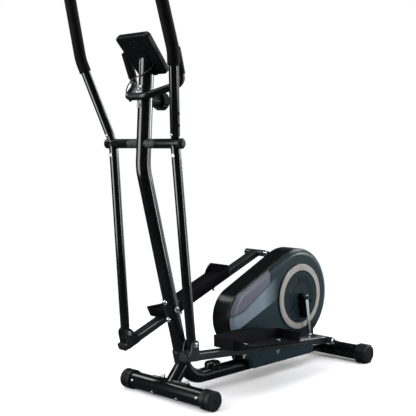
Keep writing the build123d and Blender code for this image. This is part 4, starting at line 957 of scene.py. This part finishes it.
@dataclass
class PedalBar(Assembly):
    """One pedal bar with its clevis, plug, bolts and foot tray, sizes in millimetres."""

    side: Side
    crank: Pair = CRANK_AT
    throw: float = 161.0
    rest_deg: float = CRANK_REST_DEG
    pin_end: float = 205.0
    cap_r: Pair = (8.5, 6.8)
    cap_t: float = 1.6
    cap_edge: float = 0.3

    def dress(self) -> None:
        """Puts the finishes on the bar's nodes."""
        name = self.side.label
        # The pedal bars' paint carries a painted reflection: a greyer base colour than the tubes' black
        self.shop.dress((f"{name}_pedal_bar",), "bar_paint_painted_reflection")
        self.shop.dress((f"{name}_bar_plug",), "cap_plastic")
        self.shop.dress((f"{name}_bar_bolts",), "bolt_steel")
        self.shop.dress((f"{name}_pedal",), "pedal_plastic")

    def build(self) -> None:
        """Adds the black cap on the crank pin's bright head."""
        angle = math.radians(self.rest_deg + (0.0 if self.side is Side.LEFT else 180.0))
        out = Vector((0, self.side.value, 0))
        spot = Vector((self.crank[0] - self.throw * math.sin(angle), 0.0,
                       self.crank[1] - self.throw * math.cos(angle))) + out * self.pin_end
        shape = bmesh.new()
        radii = (self.cap_r[0] * MM, self.cap_r[1] * MM)
        disc(shape, facing(spot * MM, out), ROUND_SIDES, radii, self.cap_t * MM, self.cap_edge * MM)
        name = self.side.label
        self.shop.piece(f"{name}_pin_cap", shape, "console_plastic", f"{name}_bar", "cap_plastic")


@dataclass
class Housing(Assembly):
    """Teardrop housing with its rings and the crank that turns through it."""

    def dress(self) -> None:
        """Puts the finishes on the housing's and the drive's nodes."""
        self.shop.dress(("rim_band",), "rim_plastic")
        self.shop.dress(("cover_left", "cover_right"), "cover_plastic")
        self.shop.dress(("cover_rings",), "ring_plastic")
        # The cover screws' dark tone is painted shade of the holes they sit in
        self.shop.dress(("cover_screws",), "screw_steel_and_hole_shade")
        self.shop.dress(("crank_discs",), "disc_plastic")
        self.shop.dress(("crank_arm_left", "crank_arm_right"), "crank_chrome")
        self.shop.dress(("crank_caps",), "cap_plastic")
        self.shop.dress(("crank_shaft", "crank_bearings", "flywheel_axle"), "shaft_steel")
        self.shop.dress(("drive_pulley",), "pulley_plastic")
        self.shop.dress(("drive_belt",), "belt_rubber")
        self.shop.dress(("flywheel",), "wheel_iron")


@dataclass
class Console(Assembly):
    """Console, tension knob and what shows behind the window, sizes in millimetres."""

    top: Pair = (487.9, 1228.0)
    bottom: Pair = (385.4, 1109.1)
    display_w: float = 108.0
    display_h: float = 54.0
    display_up: float = 20.0
    display_t: float = 1.2
    display_out: float = 17.2
    lines: int = 4
    line_size: Point = (94.0, 1.2, 0.2)
    line_out: float = 0.7

    def plane(self) -> Matrix:
        """Finds the plane of the console's back face.

        Returns:
            Matrix from that plane, with Z towards the user, to the shared frame, in metres.
        """
        run = Vector((self.top[0] - self.bottom[0], 0, self.top[1] - self.bottom[1])).normalized()
        mid = Vector((self.top[0] + self.bottom[0], 0, self.top[1] + self.bottom[1])) * 0.5 * MM
        out = Vector((-run.z, 0, run.x))
        turn = Matrix((Vector((0, -1, 0)), run, out)).transposed().to_4x4()
        return Matrix.Translation(mid) @ turn

    def dress(self) -> None:
        """Puts the finishes on the console's nodes."""
        self.shop.dress(("console_back", "console_front", "console_bracket", "knob_base", "tension_knob"),
                        "console_plastic")
        self.shop.dress(("console_lens",), "lens_glass")
        self.shop.dress(("button_left", "button_middle", "button_right"), "button_rubber")

    def build(self) -> None:
        """Makes the display behind the window, with plain field lines."""
        shape = bmesh.new()
        at = self.plane() @ Matrix.Translation(Vector((0, self.display_up, self.display_out)) * MM)
        self.block(shape, at, (self.display_w, self.display_h, self.display_t))
        self.shop.piece("console_display", shape, "display", "frame", "lens_glass")
        shape = bmesh.new()
        for k in range(self.lines):
            low = self.display_h * ((k + 0.5) / self.lines - 0.5)
            spot = at @ Matrix.Translation(Vector((0, low, self.line_out)) * MM)
            self.block(shape, spot, self.line_size)
        self.shop.piece("display_lines", shape, "console_plastic", "frame", "console_plastic")

    def block(self, shape: Shape, at: Matrix, size: Point) -> None:
        """Adds a block of a size in millimetres, with its middle at a place."""
        bmesh.ops.create_cube(shape, size=1.0, matrix=at @ Matrix.Diagonal((*(v * MM for v in size), 1.0)))


@dataclass
class PulseBar(Assembly):
    """Fixed bar with the hand pulse grips and their sensor wire, sizes in millimetres."""

    knee: Point = (360.9, 116.0, 1080.0)
    end: Point = (396.9, 123.0, 1187.0)
    tube_r: float = 12.5
    grip_r: float = 15.0
    grip_len: float = 84.0
    grip_steps: int = 6
    grip_sides: int = 40
    dome: float = 8.0
    wire_r: float = 2.0
    wire: tuple[Point, ...] = (
        (102.97, 40.0, 1136.86),
        (125.7, 40.0, 1117.25),
        (132.0, 4.0, 1106.0),
        (118.0, -60.0, 1089.0),
        (96.0, -106.0, 1064.0),
        (97.0, -100.0, 1044.0),
        (104.0, -72.0, 1026.0),
        (121.0, -54.0, 1026.5),
    )
    wire_len: float = 258.0

    def dress(self) -> None:
        """Puts the finishes on the bar's nodes."""
        self.shop.dress(("pulse_bar",), "clamp_paint")
        self.shop.dress(("pulse_bolts",), "bolt_steel")

    def build(self) -> None:
        """Makes the foam grips and the wire."""
        for side in Side:
            self.grip(side)
        self.cable()

    def grip(self, side: Side) -> None:
        """Makes one foam grip.

        Args:
            side: Which grip.
        """
        flip = Vector((1, side.value, 1))
        end = Vector(self.end) * flip * MM
        up = ((Vector(self.end) - Vector(self.knee)) * flip).normalized()
        start = end - up * self.grip_len * MM
        path = [(start + (end - start) * k / self.grip_steps, up) for k in range(self.grip_steps + 1)]
        shape = bmesh.new()
        sleeve = foam_sleeve(path, self.grip_r * MM, self.tube_r * MM, self.dome * MM)
        sweep(shape, sleeve, self.grip_sides)
        made = self.shop.piece(f"{side.label}_pulse_foam", shape, "grip_foam", "frame", "grip_foam")
        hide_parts("pulse_grips")

    def cable(self) -> None:
        """Makes the sensor wire along the part's own route, given from the front stabiliser's axis."""
        curve = bpy.data.curves.new("sensor_wire", "CURVE")
        curve.dimensions = "3D"
        curve.bevel_depth = self.wire_r * MM
        curve.bevel_resolution = 5
        curve.resolution_u = 24
        curve.use_fill_caps = True
        line = curve.splines.new("NURBS")
        line.points.add(len(self.wire) - 1)
        for point, (x, y, z) in zip(line.points, self.wire):
            point.co = ((x + FRONT_X) * MM, y * MM, z * MM, 1.0)
        line.order_u = 3
        line.use_endpoint_u = True
        curve.materials.append(self.shop.material("wire_rubber"))
        made = bpy.data.objects.new("sensor_wire", curve)
        bpy.context.scene.collection.objects.link(made)
        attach(made, "frame")
        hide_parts("pulse_wire")
        LOG.info("made sensor_wire")


@dataclass(frozen=True)
class SoftBox:
    """A rectangular soft lamp: place and size in metres, output in watts."""

    name: str
    at: Point
    size: Pair
    power: float


@dataclass
class Studio:
    """Pale floor, soft lamps and the camera of the photograph, in metres."""

    camera_at: Point = (2.3707, 2.1720, 0.8777)
    azimuth_deg: float = 44.0
    tilt_deg: float = 4.1
    lens_mm: float = 75.8
    sensor_mm: float = 36.0
    floor_r: float = 3.2
    floor_drop: float = 0.0005
    floor_tone: str = "#f6f6f7"
    # Darker tone that reflections see in the floor: painted shade of the floor under the machine
    floor_mirrored_shade: str = "#484a4d"
    fade: Pair = (0.95, 1.7)
    glow_deg: float = 170.0
    glow_span: Pair = (0.6, 0.95)
    glow_levels: Pair = (0.04, 1.0)
    glow_tone: str = "#ecf8fa"
    white: str = "#ffffff"
    fill: float = 0.5
    aim: Point = (0.0, 0.0, 0.6)
    boxes: tuple[SoftBox, ...] = (
        SoftBox("left_box", (2.0, -0.75, 1.2), (1.1, 2.4), 50.0),
        SoftBox("right_box", (-0.8, 1.9, 1.0), (0.4, 2.0), 24.0),
        SoftBox("side_box", (-2.38, 1.38, 1.12), (0.9, 0.5), 24.0),
        SoftBox("back_box", (-1.94, 0.22, 1.95), (1.1, 0.7), 14.0),
        SoftBox("far_box", (0.51, -1.61, 1.64), (0.7, 0.7), 6.0),
        SoftBox("top_box", (0.2, 0.2, 3.2), (2.6, 2.6), 56.0),
    )

    def build(self) -> None:
        """Sets up the floor, the lamps, the surroundings and the camera."""
        self.floor()
        for box in self.boxes:
            self.lamp(box)
        self.world()
        self.camera()

    def floor(self) -> None:
        """Makes a pale floor that fades into the white surroundings, and shows a darker tone in reflections
        as painted shade of the floor under the machine.
        """
        shape = bmesh.new()
        bmesh.ops.create_circle(shape, cap_ends=True, segments=96, radius=self.floor_r,
                                matrix=Matrix.Translation((0, 0, -self.floor_drop)))
        mesh = bpy.data.meshes.new("studio_floor")
        shape.to_mesh(mesh)
        shape.free()
        made = bpy.data.materials.new("pale_floor")
        made.use_nodes = True
        tree = made.node_tree
        tree.nodes.clear()
        place = add_node(tree, "ShaderNodeTexCoord").outputs["Object"]
        fade = add_node(tree, "ShaderNodeMapRange", {
            "Value": calc_vector(tree, "LENGTH", place), "From Min": self.fade[0], "From Max": self.fade[1],
        }, interpolation_type="SMOOTHSTEP")
        shiny = add_node(tree, "ShaderNodeLightPath").outputs["Is Glossy Ray"]
        # Reflections see the darker tone: painted shade
        tone = blend(tree, shiny, linear(self.floor_tone), linear(self.floor_mirrored_shade))
        matt = add_node(tree, "ShaderNodeBsdfDiffuse", {"Color": tone, "Roughness": 0.5})
        gone = add_node(tree, "ShaderNodeBsdfTransparent")
        mix = add_node(tree, "ShaderNodeMixShader", {
            0: fade.outputs[0], 1: matt.outputs[0], 2: gone.outputs[0]})
        add_node(tree, "ShaderNodeOutputMaterial", {"Surface": mix.outputs[0]})
        mesh.materials.append(made)
        floor = bpy.data.objects.new("studio_floor", mesh)
        bpy.context.scene.collection.objects.link(floor)

    def lamp(self, box: SoftBox) -> None:
        """Hangs one soft box that faces the object.

        Args:
            box: The lamp.
        """
        data = bpy.data.lights.new(box.name, "AREA")
        data.shape = "RECTANGLE"
        data.size, data.size_y = box.size
        data.energy = box.power
        made = bpy.data.objects.new(box.name, data)
        made.location = box.at
        look = Vector(self.aim) - Vector(box.at)
        made.rotation_euler = look.to_track_quat("-Z", "Y").to_euler()
        bpy.context.scene.collection.objects.link(made)

    def world(self) -> None:
        """Surrounds the scene with white for the camera and a room that glows behind and to the right."""
        made = bpy.data.worlds.new("studio_white")
        made.use_nodes = True
        tree = made.node_tree
        tree.nodes.clear()
        path = add_node(tree, "ShaderNodeLightPath").outputs
        angle = math.radians(self.glow_deg)
        way = add_node(tree, "ShaderNodeTexCoord").outputs["Generated"]
        ahead = calc_vector(tree, "DOT_PRODUCT", way, (math.cos(angle), math.sin(angle), 0.0))
        room = ramp(tree, ahead, *self.glow_span, *self.glow_levels)
        seen = calc(tree, "MAXIMUM", path["Is Glossy Ray"], path["Is Transmission Ray"])
        plain = add_node(tree, "ShaderNodeMix", {0: seen, 2: self.fill, 3: room}).outputs[0]
        level = add_node(tree, "ShaderNodeMix", {0: path["Is Camera Ray"], 2: plain, 3: 1.0}).outputs[0]
        tone = blend(tree, seen, linear(self.white), linear(self.glow_tone))
        light = add_node(tree, "ShaderNodeBackground", {"Color": tone, "Strength": level})
        add_node(tree, "ShaderNodeOutputWorld", {"Surface": light.outputs[0]})
        bpy.context.scene.world = made

    def camera(self) -> None:
        """Puts the camera where the photograph was taken."""
        data = bpy.data.cameras.new("photo_camera")
        data.lens = self.lens_mm
        data.sensor_width = self.sensor_mm
        made = bpy.data.objects.new("photo_camera", data)
        made.location = self.camera_at
        turn = math.radians(self.azimuth_deg)
        tilt = math.radians(self.tilt_deg)
        look = Vector((-math.cos(turn) * math.cos(tilt), -math.sin(turn) * math.cos(tilt), -math.sin(tilt)))
        made.rotation_euler = look.to_track_quat("-Z", "Y").to_euler()
        bpy.context.scene.collection.objects.link(made)
        bpy.context.scene.camera = made
        bpy.context.scene.view_settings.view_transform = "Standard"


def main() -> None:
    """Dresses the frame and builds each piece in order."""
    logging.basicConfig(level=logging.INFO, format="%(name)s: %(message)s")
    shop = PaintShop()
    assemblies: list[Assembly] = [FloorFrame(shop), Housing(shop), Console(shop), PulseBar(shop)]
    for side in Side:
        assemblies.append(Handle(shop, side, ARM_REST_DEG[side]))
        assemblies.append(PedalBar(shop, side))
    for assembly in assemblies:
        LOG.info("building %s", type(assembly).__name__)
        assembly.dress()
        assembly.build()
    Studio().build()


if __name__ == "__main__":
    main()
